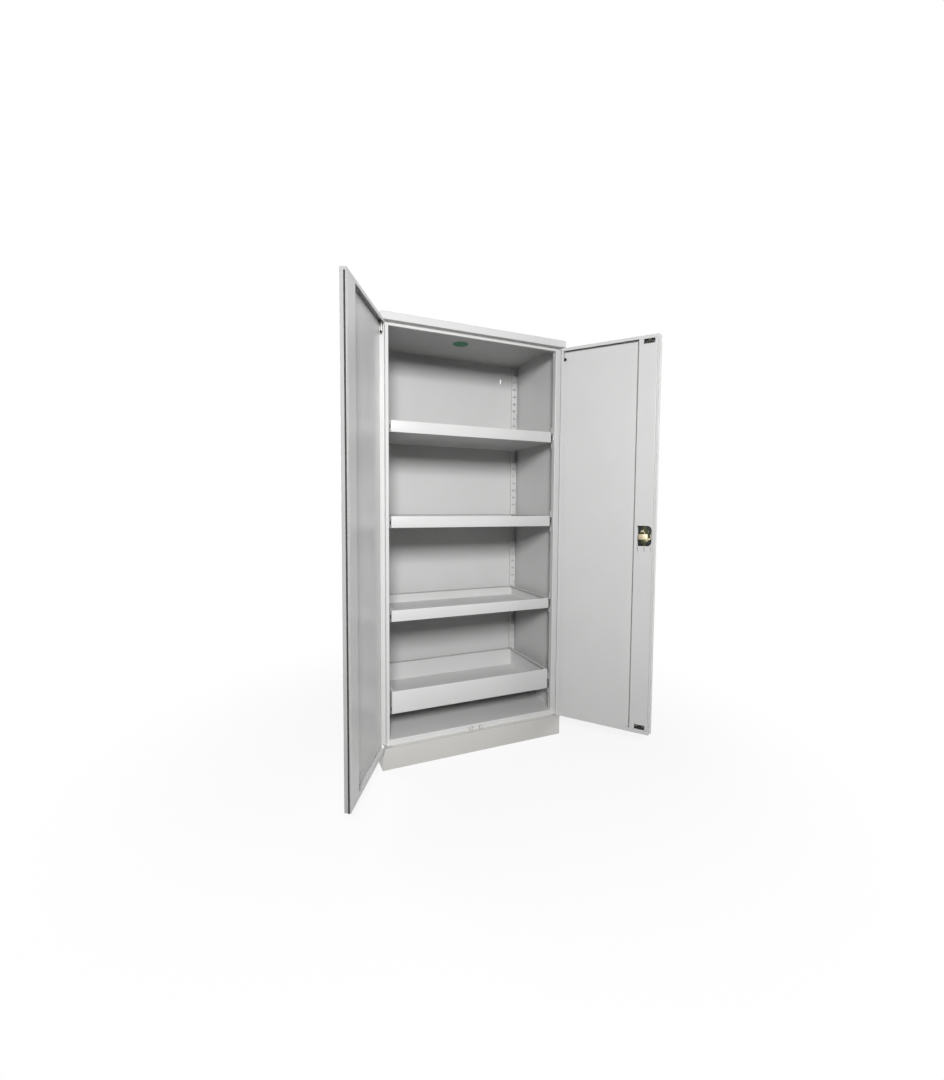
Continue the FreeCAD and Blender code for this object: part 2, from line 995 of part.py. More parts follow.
def hinge_bracket():
    """The channel welded inside the hinged edge, whose two ears guide the bent pin.

    The upper ear has a hole and the lower one a notch, open towards the door's middle.
    """
    high = door_top - bracket_top_inset
    low = high - bracket_height
    gauge = bracket_sheet
    wide = bush_flange_half + 2 * pin_running_gap
    near = sheet
    web = slab(near, near + gauge / 2, pivot_from_face - wide, pivot_from_face + wide, low, high)
    ears = []
    for start in (low, high - gauge):
        ears.append(
            slab(
                near,
                near + bracket_reach,
                pivot_from_face - wide,
                pivot_from_face + wide,
                start,
                start + gauge,
            )
        )
    clear = pin_radius + pin_running_gap
    base = Vector(pivot_from_side, pivot_from_face, high - 2 * gauge)
    hole = Part.makeCylinder(clear, 3 * gauge, base)
    notch = slab(
        pivot_from_side - clear,
        near + 2 * bracket_reach,
        pivot_from_face - clear,
        pivot_from_face + clear,
        low - gauge,
        low + 2 * gauge,
    )
    return cut(fuse([web] + ears), [hole, notch])


def bush_block(half, low, high):
    """A square block round a door's pivot axis."""
    return slab(
        pivot_from_side - half,
        pivot_from_side + half,
        pivot_from_face - half,
        pivot_from_face + half,
        low,
        high,
    )


def hinge_bush():
    """The flanged plastic bush in a door's bottom edge: square, so that only the pin turns in it."""
    flange = bush_block(bush_flange_half, door_bottom - bush_flange, door_bottom)
    body = bush_block(bush_half, door_bottom, door_bottom + bush_height)
    bore = Part.makeCylinder(
        pin_radius + pin_running_gap,
        bush_height + 2 * bush_flange,
        Vector(pivot_from_side, pivot_from_face, door_bottom - bush_flange),
    )
    return fuse([flange, body]).cut(bore)


def lower_pivot():
    """The right-hand bottom pivot: a plate on the plinth ledge with an upright pin."""
    x = half_width - pivot_from_side
    low = plinth_height
    plate = block(
        half_width - pivot_plate_length,
        half_width - bend_radius,
        pivot_from_face - pivot_plate_width / 2,
        pivot_from_face + pivot_plate_width / 2,
        low,
        low + lower_plate_thickness,
    )
    pin = Part.makeCylinder(
        pin_radius, lower_plate_thickness + lower_pin_height, Vector(x, deep(pivot_from_face), low)
    )
    return fuse([plate, pin])


def upper_pivot():
    """The right-hand top pivot: a plate lying in the fascia, with the bore for the bent pin."""
    low = fascia_bottom + sheet
    inset = sheet + bend_radius / 2
    plate = block(
        half_width - pivot_plate_length,
        half_width - inset,
        pivot_from_face - pivot_plate_width / 2 + inset / 2,
        pivot_from_face + pivot_plate_width / 2,
        low,
        low + pivot_plate_thickness,
    )
    bore = pivot_hole(1, pin_radius + pin_running_gap, low - sheet, pivot_plate_thickness + 2 * sheet)
    return plate.cut(bore)


def handle_cup():
    """The recessed plastic cup in the right door, with the bearing for the handle."""
    flange = d_shape(cup_flange_width, cup_flange_height, -cup_flange_thickness, 0)
    body_width = cup_width - 2 * journal_gap
    body_height = cup_height - 2 * journal_gap
    body = d_shape(body_width, body_height, -cup_flange_thickness, cup_floor)
    pocket = d_shape(
        cup_width - 2 * cup_wall, cup_height - 2 * cup_wall, -2 * cup_flange_thickness, cup_depth
    )
    bearing = Part.makeCylinder(
        journal_radius + journal_gap, 2 * cup_floor, Vector(lock_u, 0, lock_height), Vector(0, 1, 0)
    )
    return fuse([flange, body]).cut(pocket).cut(bearing)


def lock_case():
    """The plate on the back of the cup: two ears for its screws and two stops for the cam."""
    low_w = cup_floor
    plate = slab(
        lock_u - case_width / 2,
        lock_u + case_width / 2,
        low_w,
        low_w + case_thickness,
        lock_height - case_height / 2 + case_ear,
        lock_height + case_height / 2 - case_ear,
    )
    ears = []
    for side in (-1, 1):
        near = lock_height + side * (case_height / 2 - case_ear)
        far = lock_height + side * case_height / 2
        ears.append(
            slab(
                lock_u - case_ear,
                lock_u + case_ear,
                low_w,
                low_w + case_thickness,
                min(near, far),
                max(near, far),
            )
        )
    bearing = Part.makeCylinder(
        journal_radius + journal_gap, 4 * case_thickness, Vector(lock_u, 0, lock_height), Vector(0, 1, 0)
    )
    bearing.translate(Vector(0, low_w - case_thickness, 0))
    half = (stop_distance * math.sqrt(0.5) - cam_width / 2 - cam_gap) * math.sqrt(0.5)
    stops = []
    for side in (-1, 1):
        middle = lock_height + side * stop_distance
        reach = case_thickness + cam_gap + cam_thickness
        stops.append(
            slab(lock_u - half, lock_u + half, low_w, low_w + reach, middle - half, middle + half)
        )
    return fuse([plate] + ears + stops).cut(bearing)


def lock_screws():
    """The two screws that hold the lock case to the cup."""
    screws = []
    for side in (-1, 1):
        centre = Vector(
            lock_u, cup_floor + case_thickness, lock_height + side * (case_height / 2 - case_ear)
        )
        screws.append(
            Part.makeCylinder(lock_screw_radius, lock_screw_height, centre, Vector(0, 1, 0))
        )
    return Part.makeCompound(screws)


def turn_handle():
    """The T-shaped handle in the cup, with its journal and the square that drives the cam."""
    axis = Vector(0, 1, 0)
    disc_w = cup_depth - journal_gap - turn_disc_thickness
    disc = Part.makeCylinder(
        turn_disc_radius, turn_disc_thickness, Vector(lock_u, disc_w, lock_height), axis
    )
    grip = slab(
        lock_u - grip_length / 2,
        lock_u + grip_length / 2,
        -grip_proud,
        disc_w,
        lock_height - grip_width / 2,
        lock_height + grip_width / 2,
    )
    corners = []
    for edge in grip.Edges:
        ends = [vertex.Point for vertex in edge.Vertexes]
        if not level(ends[0].y, ends[1].y):
            corners.append(edge)
    grip = grip.makeChamfer(grip_width / 4, corners)
    journal_start = disc_w + turn_disc_thickness
    journal = Part.makeCylinder(
        journal_radius,
        cam_plane - journal_start,
        Vector(lock_u, journal_start, lock_height),
        axis,
    )
    square = slab(
        lock_u - square_drive / 2,
        lock_u + square_drive / 2,
        cam_plane,
        cam_plane + cam_thickness,
        lock_height - square_drive / 2,
        lock_height + square_drive / 2,
    )
    bore = Part.makeCylinder(
        key_radius + key_gap, key_depth + grip_proud, Vector(lock_u, -grip_proud, lock_height), axis
    )
    return fuse([disc, grip, journal, square]).cut(bore)


def key_plug():
    """The turning core of the key cylinder, with its keyway."""
    axis = Vector(0, 1, 0)
    plug = Part.makeCylinder(
        key_radius, key_depth + grip_proud - key_gap, Vector(lock_u, -grip_proud, lock_height), axis
    )
    keyway = slab(
        lock_u - key_slot_width / 2,
        lock_u + key_slot_width / 2,
        -2 * grip_proud,
        key_depth / 2,
        lock_height - key_radius * 0.75,
        lock_height + key_radius * 0.75,
    )
    return plug.cut(keyway)


def lock_cam():
    """The cam plate on the square, with a pin for each rod.

    At rest its arm slopes half the handle's turn down from the u axis, and locked as much up.
    """
    reach = cam_throw + cam_width / 2
    arm = slab(
        lock_u - reach,
        lock_u + reach,
        cam_plane,
        cam_plane + cam_thickness,
        lock_height - cam_width / 2,
        lock_height + cam_width / 2,
    )
    corners = []
    for edge in arm.Edges:
        ends = [vertex.Point for vertex in edge.Vertexes]
        if not level(ends[0].y, ends[1].y):
            corners.append(edge)
    arm = arm.makeChamfer(cam_width * 0.3, corners)
    tips = []
    for side in (-1, 1):
        centre = Vector(lock_u + side * cam_throw, cam_plane, lock_height)
        tips.append(
            Part.makeCylinder(
                cam_pin_radius,
                cam_thickness + 2 * rod_gap + rod_thickness,
                centre,
                Vector(0, 1, 0),
            )
        )
    plate = fuse([arm] + tips)
    socket = slab(
        lock_u - square_drive / 2,
        lock_u + square_drive / 2,
        cam_plane - cam_thickness,
        cam_plane + 2 * cam_thickness,
        lock_height - square_drive / 2,
        lock_height + square_drive / 2,
    )
    plate.rotate(Vector(lock_u, 0, lock_height), Vector(0, 1, 0), handle_turn / 2)
    return plate.cut(socket)


def cam_screw():
    """The screw in the end of the square, which keeps the cam on."""
    start = cam_plane + cam_thickness
    return Part.makeCylinder(
        cam_screw_radius, cam_screw_height, Vector(lock_u, start, lock_height), Vector(0, 1, 0)
    )


def lock_rod(upper):
    """A flat rod: a foot with a slot round the cam pin, a jog to the middle and the long bar.

    It is drawn as the upper rod, and the lower one is turned half round the lock's centre.
    """
    side = cam_throw * math.sqrt(0.5)
    pin_z = lock_height - side
    play_u = cam_pin_radius + cam_pin_play
    play_z = cam_pin_radius + cam_pin_play
    foot_low = pin_z - rod_foot_height / 2
    inner = cam_screw_radius + rod_gap
    outer = rod_foot_reach
    jog_low = lock_height + cam_throw
    jog_high = jog_low + outer
    if upper:
        tip = door_top - rod_tip_inset
    else:
        tip = 2 * lock_height - (door_bottom + rod_tip_inset)
    w0 = rod_plane
    w1 = rod_plane + rod_thickness
    outline = [
        (inner, foot_low),
        (outer, foot_low),
        (outer, jog_low),
        (rod_width / 2, jog_high),
        (rod_width / 2, tip - rod_width / 3),
        (rod_width / 4, tip),
        (-rod_width / 4, tip),
        (-rod_width / 2, tip - rod_width / 3),
        (-rod_width / 2, jog_high - inner),
        (inner, jog_low - inner),
    ]
    corners = [Vector(lock_u + u, w0, z) for u, z in outline]
    wire = Part.makePolygon(corners + [corners[0]])
    rod = Part.Face(wire).extrude(Vector(0, w1 - w0, 0))
    slot = slab(
        lock_u + side - play_u,
        lock_u + cam_throw + play_u,
        w0 - rod_gap,
        w1 + rod_gap,
        pin_z - play_z,
        pin_z + play_z,
    )
    rod = rod.cut(slot)
    if not upper:
        rod.rotate(Vector(lock_u, 0, lock_height), Vector(0, 1, 0), 180)
    return rod


def rod_guide(centre):
    """A plastic guide in the stile's window, with the slot that a rod slides in."""
    low = centre - guide_height / 2
    high = centre + guide_height / 2 - guide_top_gap
    body = slab(
        lock_u - guide_width / 2,
        lock_u + guide_width / 2 - guide_side_gap,
        door_thickness - guide_depth,
        door_thickness,
        low,
        high,
    )
    wide = rod_width / 2 + rod_gap
    channel = slab(
        lock_u - wide,
        lock_u + wide,
        door_thickness - guide_depth - rod_gap,
        rod_plane + rod_thickness + rod_gap,
        centre - guide_height,
        centre + guide_height,
    )
    peephole = slab(
        lock_u - rod_width,
        lock_u + rod_width,
        rod_plane,
        door_thickness + rod_gap,
        low + guide_slot_height,
        low + 2 * guide_slot_height,
    )
    return body.cut(channel).cut(peephole)


def door_buffer():
    """One of the two soft pads on the sill that the doors close against."""
    start = door_thickness + buffer_gap
    low = plinth_height + buffer_lift
    x = buffer_spacing / 2
    pad = block(
        x - buffer_width / 2, x + buffer_width / 2, start, frame_setback, low, low + buffer_height
    )
    face = [
        edge
        for edge in pad.Edges
        if level(deep(start), *(vertex.Point.y for vertex in edge.Vertexes))
    ]
    return pad.makeChamfer((frame_setback - start) / 3, face)


def build_carcass():
    save("side_panel_right", side_panel())
    save("side_panel_left", mirror_x(side_panel()))
    save("roof_panel", roof_panel())
    save("floor_panel", floor_panel())
    save("plinth", plinth())
    save("back_panel", back_panel())
    save("front_uprights", pair(front_upright()))
    save("rear_uprights", pair(rear_upright()))
    save("vent_collar", vent_collar())
    save("outlet_plug", outlet_plug())
    save("lower_pivots", pair(lower_pivot()))
    save("upper_pivots", pair(upper_pivot()))
    save("door_buffers", pair(door_buffer()))


def build_trays():
    rails = []
    for slot_number in tray_slots:
        rails += pair(tray_rail(slot_number)).Solids
    save("tray_rails", Part.makeCompound(rails))
    for index, slot_number in enumerate(tray_slots):
        label = "_" + str(index + 1)
        save("slide_outer" + label, pair(outer_member(slot_number)))
        save("slide_middle" + label, pair(middle_member(slot_number)))
        save("slide_cages" + label, pair(ball_cage(slot_number)))
        save("slide_inner" + label, pair(inner_member(slot_number)))
        save("slide_catches" + label, pair(slide_catch(slot_number)))
        save("tray" + label, tray(slot_number, tray_wall_heights[index]))


def build_doors():
    for hand, name in ((-1, "left"), (1, "right")):
        save(name + "_door_pan", door_place(door_pan(hand), hand))
        save(name + "_door_stile", door_place(door_stile(hand), hand))
        save(name + "_hinge_pin", door_place(hinge_pin(), hand))
        save(name + "_hinge_bracket", door_place(hinge_bracket(), hand))
        save(name + "_hinge_bush", door_place(hinge_bush(), hand))
    save("left_door_seal", door_place(door_seal(), -1))
    save("right_cover_strip", door_place(cover_strip(), 1))


def build_lock():
    save("handle_cup", door_place(handle_cup(), 1))
    save("lock_case", door_place(lock_case(), 1))
    save("lock_screws", door_place(lock_screws(), 1))
    guides = Part.makeCompound([rod_guide(centre) for centre in guide_centres()])
    save("rod_guides", door_place(guides, 1))
    save("turn_handle", door_place(turn_handle(), 1))
    save("key_plug", door_place(key_plug(), 1))
    save("lock_cam", door_place(lock_cam(), 1))
    save("cam_screw", door_place(cam_screw(), 1))
    save("upper_lock_rod", door_place(lock_rod(True), 1))
    save("lower_lock_rod", door_place(lock_rod(False), 1))


build_carcass()
build_trays()
build_doors()
build_lock()
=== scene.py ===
import json
import math

import bmesh
import bpy
from mathutils import Matrix, Vector


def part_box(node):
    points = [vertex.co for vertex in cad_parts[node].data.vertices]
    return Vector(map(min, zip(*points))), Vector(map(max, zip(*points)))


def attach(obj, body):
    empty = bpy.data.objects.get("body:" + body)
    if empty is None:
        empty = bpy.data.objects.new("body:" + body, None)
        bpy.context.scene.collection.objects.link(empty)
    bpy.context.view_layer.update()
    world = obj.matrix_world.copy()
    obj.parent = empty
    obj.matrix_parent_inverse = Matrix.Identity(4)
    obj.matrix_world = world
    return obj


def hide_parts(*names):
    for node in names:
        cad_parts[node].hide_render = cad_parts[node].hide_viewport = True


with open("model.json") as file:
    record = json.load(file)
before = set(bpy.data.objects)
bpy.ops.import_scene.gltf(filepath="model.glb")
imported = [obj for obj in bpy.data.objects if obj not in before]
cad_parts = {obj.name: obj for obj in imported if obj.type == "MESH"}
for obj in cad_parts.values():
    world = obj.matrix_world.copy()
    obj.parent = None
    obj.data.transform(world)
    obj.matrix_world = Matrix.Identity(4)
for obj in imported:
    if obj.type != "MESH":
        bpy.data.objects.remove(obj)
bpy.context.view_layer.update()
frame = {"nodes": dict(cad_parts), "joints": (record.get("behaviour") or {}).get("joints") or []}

bl_info = {
    "name": "Safety Cabinet",
    "version": (1, 0, 0),
    "blender": (4, 5, 0),
    "location": "3D View > Sidebar > Cabinet",
    "description": "Dresses a steel safety cabinet with its trays, doors, lock and finishes",
    "category": "Object",
}

NODES = frame["nodes"]
JOINTS = {joint["name"]: joint for joint in frame["joints"]}

# Places and sizes that several pieces share, in metres. LOCK_U and LOCK_Z are the lock's axis in
# door space, and PIN_PLACE is the u and w of the upper hinge pins.

HALF_WIDTH = 0.450
FRONT = -0.250
LOCK_U = 0.406
LOCK_Z = 1.0185
TRAYS = (1, 2, 3, 4)
TRAY_STEP = 0.4125
FIRST_SLOT = 0.1685
BEARING_RADIUS = 0.00505
PIN_PLACE = (0.006, 0.012)
HEAD_HEIGHT = 0.0019
# ROOM_BEHIND_REAR_UPRIGHTS is the span of distances from the middle that the back panel paints near
# black as painted shade.
ROOM_BEHIND_REAR_UPRIGHTS = (0.4134, 0.4370)
LEFT_TO_RIGHT = Matrix.Diagonal((-1.0, 1.0, 1.0, 1.0))


def hinge_place(joint_name, side):
    """The matrix from door space to the open door, on the right (1) or the left (-1).

    Door space is (u, w, z) in metres: u from the hinged edge, w from the outer face inwards.
    """
    joint = JOINTS[joint_name]
    pivot = Vector(joint["pos_m"])
    angle = abs(joint["range_deg"][0])
    turn = Matrix.Rotation(side * math.radians(angle), 4, "Z")
    corner = Vector((side * HALF_WIDTH, FRONT, 0.0))
    flip = Matrix.Diagonal((-side, 1.0, 1.0, 1.0))
    return Matrix.Translation(pivot) @ turn @ Matrix.Translation(corner - pivot) @ flip


RIGHT_DOOR = hinge_place("right_door_hinge", 1)
LEFT_DOOR = hinge_place("left_door_hinge", -1)

# Modelling helpers. Those that take a piece first leave edit mode and select it alone.


def rest():
    """Back to object mode with nothing selected."""
    if bpy.context.mode != "OBJECT":
        bpy.ops.object.mode_set(mode="OBJECT")
    bpy.ops.object.select_all(action="DESELECT")


def only(piece):
    """Select one piece alone."""
    rest()
    piece.select_set(True)
    bpy.context.view_layer.objects.active = piece
    return piece


def settle():
    """Put the place, turn and scale of the selected pieces into their meshes."""
    bpy.ops.object.transform_apply(location=True, rotation=True, scale=True)


def place_by(piece, matrix):
    """Move a piece by a matrix, into its mesh."""
    only(piece)
    piece.matrix_world = matrix @ piece.matrix_world
    settle()
    return piece


def block(low, high):
    """A cube between two corners."""
    rest()
    low = Vector(low)
    high = Vector(high)
    bpy.ops.mesh.primitive_cube_add(size=1.0, location=(low + high) / 2, scale=high - low)
    settle()
    return bpy.context.object


def rod(start, end, radius, sides):
    """A cylinder between two points."""
    rest()
    start = Vector(start)
    end = Vector(end)
    along = end - start
    turn = along.to_track_quat("Z", "Y").to_euler()
    bpy.ops.mesh.primitive_cylinder_add(
        vertices=sides, radius=radius, depth=along.length, location=(start + end) / 2, rotation=turn
    )
    settle()
    return bpy.context.object


def lock_block(across, inwards, up):
    """A block on a door: its spans along u, w and z, with u and z from the lock's axis."""
    (u0, u1), (w0, w1), (z0, z1) = across, inwards, up
    return block((LOCK_U + u0, w0, LOCK_Z + z0), (LOCK_U + u1, w1, LOCK_Z + z1))


def lock_rod(inwards, radius, sides, up=0.0):
    """A round along w on a door, at a height above the lock's axis."""
    low, high = inwards
    return rod((LOCK_U, low, LOCK_Z + up), (LOCK_U, high, LOCK_Z + up), radius, sides)


def pick(piece, kind, wanted):
    """Edit mode on a piece, with only the faces, edges or vertices that wanted accepts."""
    only(piece)
    bpy.ops.object.mode_set(mode="EDIT")
    bpy.ops.mesh.select_mode(type=kind)
    bpy.ops.mesh.select_all(action="DESELECT")
    mesh = bmesh.from_edit_mesh(piece.data)
    items = {"FACE": mesh.faces, "EDGE": mesh.edges, "VERT": mesh.verts}[kind]
    found = [item for item in items if wanted(item)]
    for item in found:
        item.select_set(True)
    mesh.select_flush_mode()
    bmesh.update_edit_mesh(piece.data)
    if not found:
        raise RuntimeError("nothing was found to shape on " + piece.name)


def middle(item):
    """The middle of a face or an edge."""
    if hasattr(item, "calc_center_median"):
        return item.calc_center_median()
    return (item.verts[0].co + item.verts[1].co) / 2


def facing(direction, at=None, axis=2, slack=2e-5):
    """A test for faces that look along a direction and, if given, lie at a place on an axis."""
    direction = Vector(direction)

    def wanted(face):
        if face.normal.dot(direction) < 0.99:
            return False
        return at is None or abs(middle(face)[axis] - at) < slack

    return wanted


def running(axis, *limits):
    """A test for edges that run along an axis and lie at the given (axis, place) pairs."""

    def wanted(edge):
        line = edge.verts[1].co - edge.verts[0].co
        if line.length < 1e-7 or abs(line[axis]) / line.length < 0.99:
            return False
        centre = middle(edge)
        return all(abs(centre[which] - place) < 2e-5 for which, place in limits)

    return wanted


def either(*tests):
    """A test that accepts what any of the tests accepts."""
    return lambda item: any(test(item) for test in tests)


def level_with(axis, place, slack=1e-6):
    """A test for edges whose middle lies at a place on an axis."""
    return lambda edge: abs(middle(edge)[axis] - place) < slack


def round_off(piece, wanted, offset, segments):
    """Bevel the edges of a piece that wanted accepts."""
    pick(piece, "EDGE", wanted)
    bpy.ops.mesh.bevel(offset=offset, offset_type="OFFSET", segments=segments, affect="EDGES")


def push(x=0.0, y=0.0, z=0.0):
    """Extrude what is selected by a distance."""
    bpy.ops.mesh.extrude_region_move(TRANSFORM_OT_translate={"value": (x, y, z)})


def scale_about(centre, factors):
    bpy.ops.transform.resize(value=factors, center_override=centre)


def modify(piece, kind, **settings):
    """Add a modifier to a piece and apply it."""
    only(piece)
    step = piece.modifiers.new(kind.lower(), kind)
    for key, value in settings.items():
        setattr(step, key, value)
    bpy.ops.object.modifier_apply(modifier=step.name)
    return piece


def soften(piece, width, segments=2, angle=30.0):
    """Round all the sharp edges of a piece."""
    limit = math.radians(angle)
    return modify(
        piece, "BEVEL", width=width, segments=segments, limit_method="ANGLE", angle_limit=limit
    )


def repeat(piece, count, step):
    """Repeat a piece in a row, in one mesh."""
    return modify(
        piece,
        "ARRAY",
        count=count,
        use_relative_offset=False,
        use_constant_offset=True,
        constant_offset_displace=step,
    )


def combine(piece, other, operation):
    modify(piece, "BOOLEAN", operation=operation, solver="EXACT", object=other)
    only(other)
    bpy.ops.object.delete()
    return piece


def cut_away(piece, tool):
    """Cut a tool out of a piece; the tool is used up."""
    return combine(piece, tool, "DIFFERENCE")


def weld_onto(piece, other):
    """Unite two closed pieces in one skin."""
    return combine(piece, other, "UNION")


def gather(pieces):
    """Join several pieces into one."""
    rest()
    for piece in pieces:
        piece.select_set(True)
    bpy.context.view_layer.objects.active = pieces[0]
    if len(pieces) > 1:
        bpy.ops.object.join()
    return bpy.context.view_layer.objects.active


def with_twin(piece):
    """A piece and its mirror image on the cabinet's other side, in one."""
    only(piece)
    bpy.ops.object.duplicate(linked=False)
    made = place_by(bpy.context.object, LEFT_TO_RIGHT)
    outward(made)
    return gather([piece, made])


def outward(piece):
    """Turn all normals outwards."""
    only(piece)
    bpy.ops.object.mode_set(mode="EDIT")
    bpy.ops.mesh.select_all(action="SELECT")
    bpy.ops.mesh.normals_make_consistent(inside=False)
    bpy.ops.object.mode_set(mode="OBJECT")


def dress(piece, name, body, slot, *stands_for, look=None, door=None):
    """Name a piece, smooth it, give it its finish and let it ride on its body.

    A piece made in door space is first put where its open door is. The finish has the slot's
    name unless another look is given.
    """
    if door:
        place_by(piece, door)
    outward(piece)
    bpy.ops.object.shade_smooth_by_angle(angle=math.radians(35.0))
    settle()
    piece.name = name
    piece.data.name = name
    piece.data.materials.clear()
    piece.data.materials.append(FINISHES[look or slot])
    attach(piece, body)
    if stands_for:
        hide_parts(*stands_for)


def on_right_door(piece, name, slot, *stands_for, look=None, body="right_door"):
    """Dress a piece made in the right door's space."""
    dress(piece, name, body, slot, *stands_for, look=look, door=RIGHT_DOOR)


# Finishes.


def maths(operation, swapped=False):
    """A method that adds a maths node between a signal and another signal or a number."""

    def method(self, other):
        pair = (other, self) if swapped else (self, other)
        return self.finish.node("Math", {"operation": operation}, dict(enumerate(pair)))

    return method


class Signal:
    """One output of a shader node, with arithmetic that adds maths nodes."""

    __add__, __radd__ = maths("ADD"), maths("ADD", True)
    __sub__, __rsub__ = maths("SUBTRACT"), maths("SUBTRACT", True)
    __mul__, __rmul__ = maths("MULTIPLY"), maths("MULTIPLY", True)

    def __init__(self, finish, socket):
        self.finish = finish
        self.socket = socket

    def band(self, low, high, to_low=0.0, to_high=1.0):
        """Map a span of values smoothly onto another."""
        spans = {"From Min": low, "From Max": high, "To Min": to_low, "To Max": to_high}
        smooth = {"interpolation_type": "SMOOTHSTEP"}
        return self.finish.node("MapRange", smooth, {"Value": self, **spans})


class Finish:
    """A material being built on the standard surface shader."""

    def __init__(self, name):
        self.material = bpy.data.materials.new(name)
        self.material.use_nodes = True
        self.tree = self.material.node_tree
        self.shader = self.tree.nodes["Principled BSDF"]
        self.place = self.node("TexCoord", output="Object")

    def node(self, kind, settings=None, inputs=None, output=0):
        """Add a node: its settings first, then its values and links."""
        made = self.tree.nodes.new("ShaderNode" + kind)
        for key, value in (settings or {}).items():
            setattr(made, key, value)
        for key, value in (inputs or {}).items():
            self.feed(made.inputs[key], value)
        return Signal(self, made.outputs[output])

    def feed(self, socket, value):
        if isinstance(value, Signal):
            self.tree.links.new(value.socket, socket)
        else:
            socket.default_value = value

    def set(self, **values):
        """Set the surface shader's sockets, by names with spaces written as underscores."""
        for key, value in values.items():
            self.feed(self.shader.inputs[key.replace("_", " ")], value)
        return self

    def noise(self, size, detail=2.0, roughness=0.5, stretch=None, seed=0.0):
        """Cloudy noise whose features are about size metres across."""
        place = self.place
        if stretch or seed:
            moved = {"Location": (seed, seed, seed), "Scale": stretch or (1.0, 1.0, 1.0)}
            place = self.node("Mapping", None, {"Vector": place, **moved})
        grain = {"Scale": 1.0 / size, "Detail": detail, "Roughness": roughness}
        return self.node("TexNoise", None, {"Vector": place, **grain})

    def blend(self, factor, first, second):
        """A colour between two colours."""
        return self.node("Mix", {"data_type": "RGBA"}, {0: factor, 6: first, 7: second}, 2)

    def bump(self, height, distance, strength, under=None):
        inputs = {"Height": height, "Distance": distance, "Strength": strength}
        if under is not None:
            inputs["Normal"] = under
        return self.node("Bump", None, inputs)

    def along(self, axis):
        """A place's coordinate along an axis, in metres."""
        return self.node("SeparateXYZ", None, {0: self.place}, axis)

    def reach(self, direction):
        """How far a place lies along a direction, in metres."""
        dot = {"operation": "DOT_PRODUCT"}
        return self.node("VectorMath", dot, {0: self.place, 1: direction}, "Value")


def tone(colour, factor):
    """A colour made lighter or darker."""
    return tuple(min(1.0, channel * factor) for channel in colour[:3]) + (1.0,)


def outer_skin(door):
    """The direction into a door, and the place along it where the sheet's outer skin ends."""
    half_sheet = 0.0006
    inwards = door.to_3x3() @ Vector((0.0, 1.0, 0.0))
    return tuple(inwards), (door @ Vector((0.0, half_sheet, 0.0))).dot(inwards)


def powder_coat(name, colour, dust=0.0, painted_shade_span=None, edge_shade=None, outer=None):
    """Sprayed and baked powder coat: orange peel, faint cloudiness, dust low down.

    bare is the span of distances from the middle, to the left or right, that the spray missed.
    handled is a direction and how far along it the paint is greyed by hands.
    outer is a direction and the place along it up to which the skin is duller.
    """
    coat = Finish(name)
    cloud = coat.noise(0.22, 3.0)
    speck = coat.noise(0.0016, 2.0, seed=3.0)
    smear = coat.noise(0.05, 4.0, 0.6, stretch=(1.0, 1.0, 0.35), seed=7.0)
    paint = coat.blend(cloud.band(0.3, 0.7), tone(colour, 0.985), tone(colour, 1.01))
    paint = coat.blend(speck.band(0.62, 0.78, 0.0, 0.35), paint, tone(colour, 0.955))
    if dust:
        height = coat.along("Z")
        low = height.band(0.10, 0.0) * smear.band(0.2, 0.8, 0.5, 1.0) * dust
        paint = coat.blend(low, paint, (0.40, 0.37, 0.33, 1.0))
    # Painted shade: paint beyond a place along a direction is darkened, with a faint mottle, to
    # stand in for the shade on an edge face.
    if edge_shade:
        direction, start = edge_shade
        edge_shade_mottle = smear.band(0.2, 0.8, 0.85, 1.0)
        painted_edge_shade = coat.reach(direction).band(start, start + 0.0008) * edge_shade_mottle
        paint = coat.blend(painted_edge_shade, paint, tone(colour, 0.58))
    # Painted shade: near-black paint over a span of distances from the middle, standing in for the
    # shade behind the rear uprights.
    if painted_shade_span:
        across = coat.along("X")
        square = across * across
        low, high = (place * place for place in painted_shade_span)
        edge = 0.0004
        painted_shade_mask = square.band(low, low + edge) * square.band(high, high - edge)
        paint = coat.blend(painted_shade_mask, paint, (0.030, 0.030, 0.030, 1.0))
    peel_wave = coat.noise(0.0042, 2.0, 0.55, seed=1.0)
    grain = coat.noise(0.0009, 1.0, 0.5, seed=5.0)
    relief = coat.bump(peel_wave, 0.00022, 0.5)
    relief = coat.bump(grain, 0.00005, 0.5, relief)
    rough = 0.30 + smear.band(0.3, 0.7) * 0.08 - peel_wave * 0.04
    if outer:
        direction, start = outer
        rough = rough + coat.reach(direction).band(start, start - 0.0003) * 0.30
    coat.set(Base_Color=paint, Roughness=rough, Normal=relief, Specular_IOR_Level=0.45)
    return coat.material


def zinc_plate(name, colour):
    """Plated steel: soft clouds, rolling lines and dull patches."""
    zinc = Finish(name)
    cloud = zinc.noise(0.018, 4.0, 0.6)
    lines = zinc.noise(0.0035, 3.0, 0.6, stretch=(8.0, 0.25, 8.0), seed=2.0)
    stain = zinc.noise(0.006, 5.0, 0.65, seed=9.0)
    metal = zinc.blend(cloud.band(0.3, 0.7), tone(colour, 0.90), tone(colour, 1.06))
    metal = zinc.blend(stain.band(0.60, 0.80, 0.0, 0.4), metal, tone(colour, 0.72))
    rough = 0.26 + cloud * 0.12 + lines * 0.10
    zinc.set(Base_Color=metal, Roughness=rough, Metallic=1.0)
    zinc.set(Normal=zinc.bump(lines, 0.00004, 0.5))
    return zinc.material


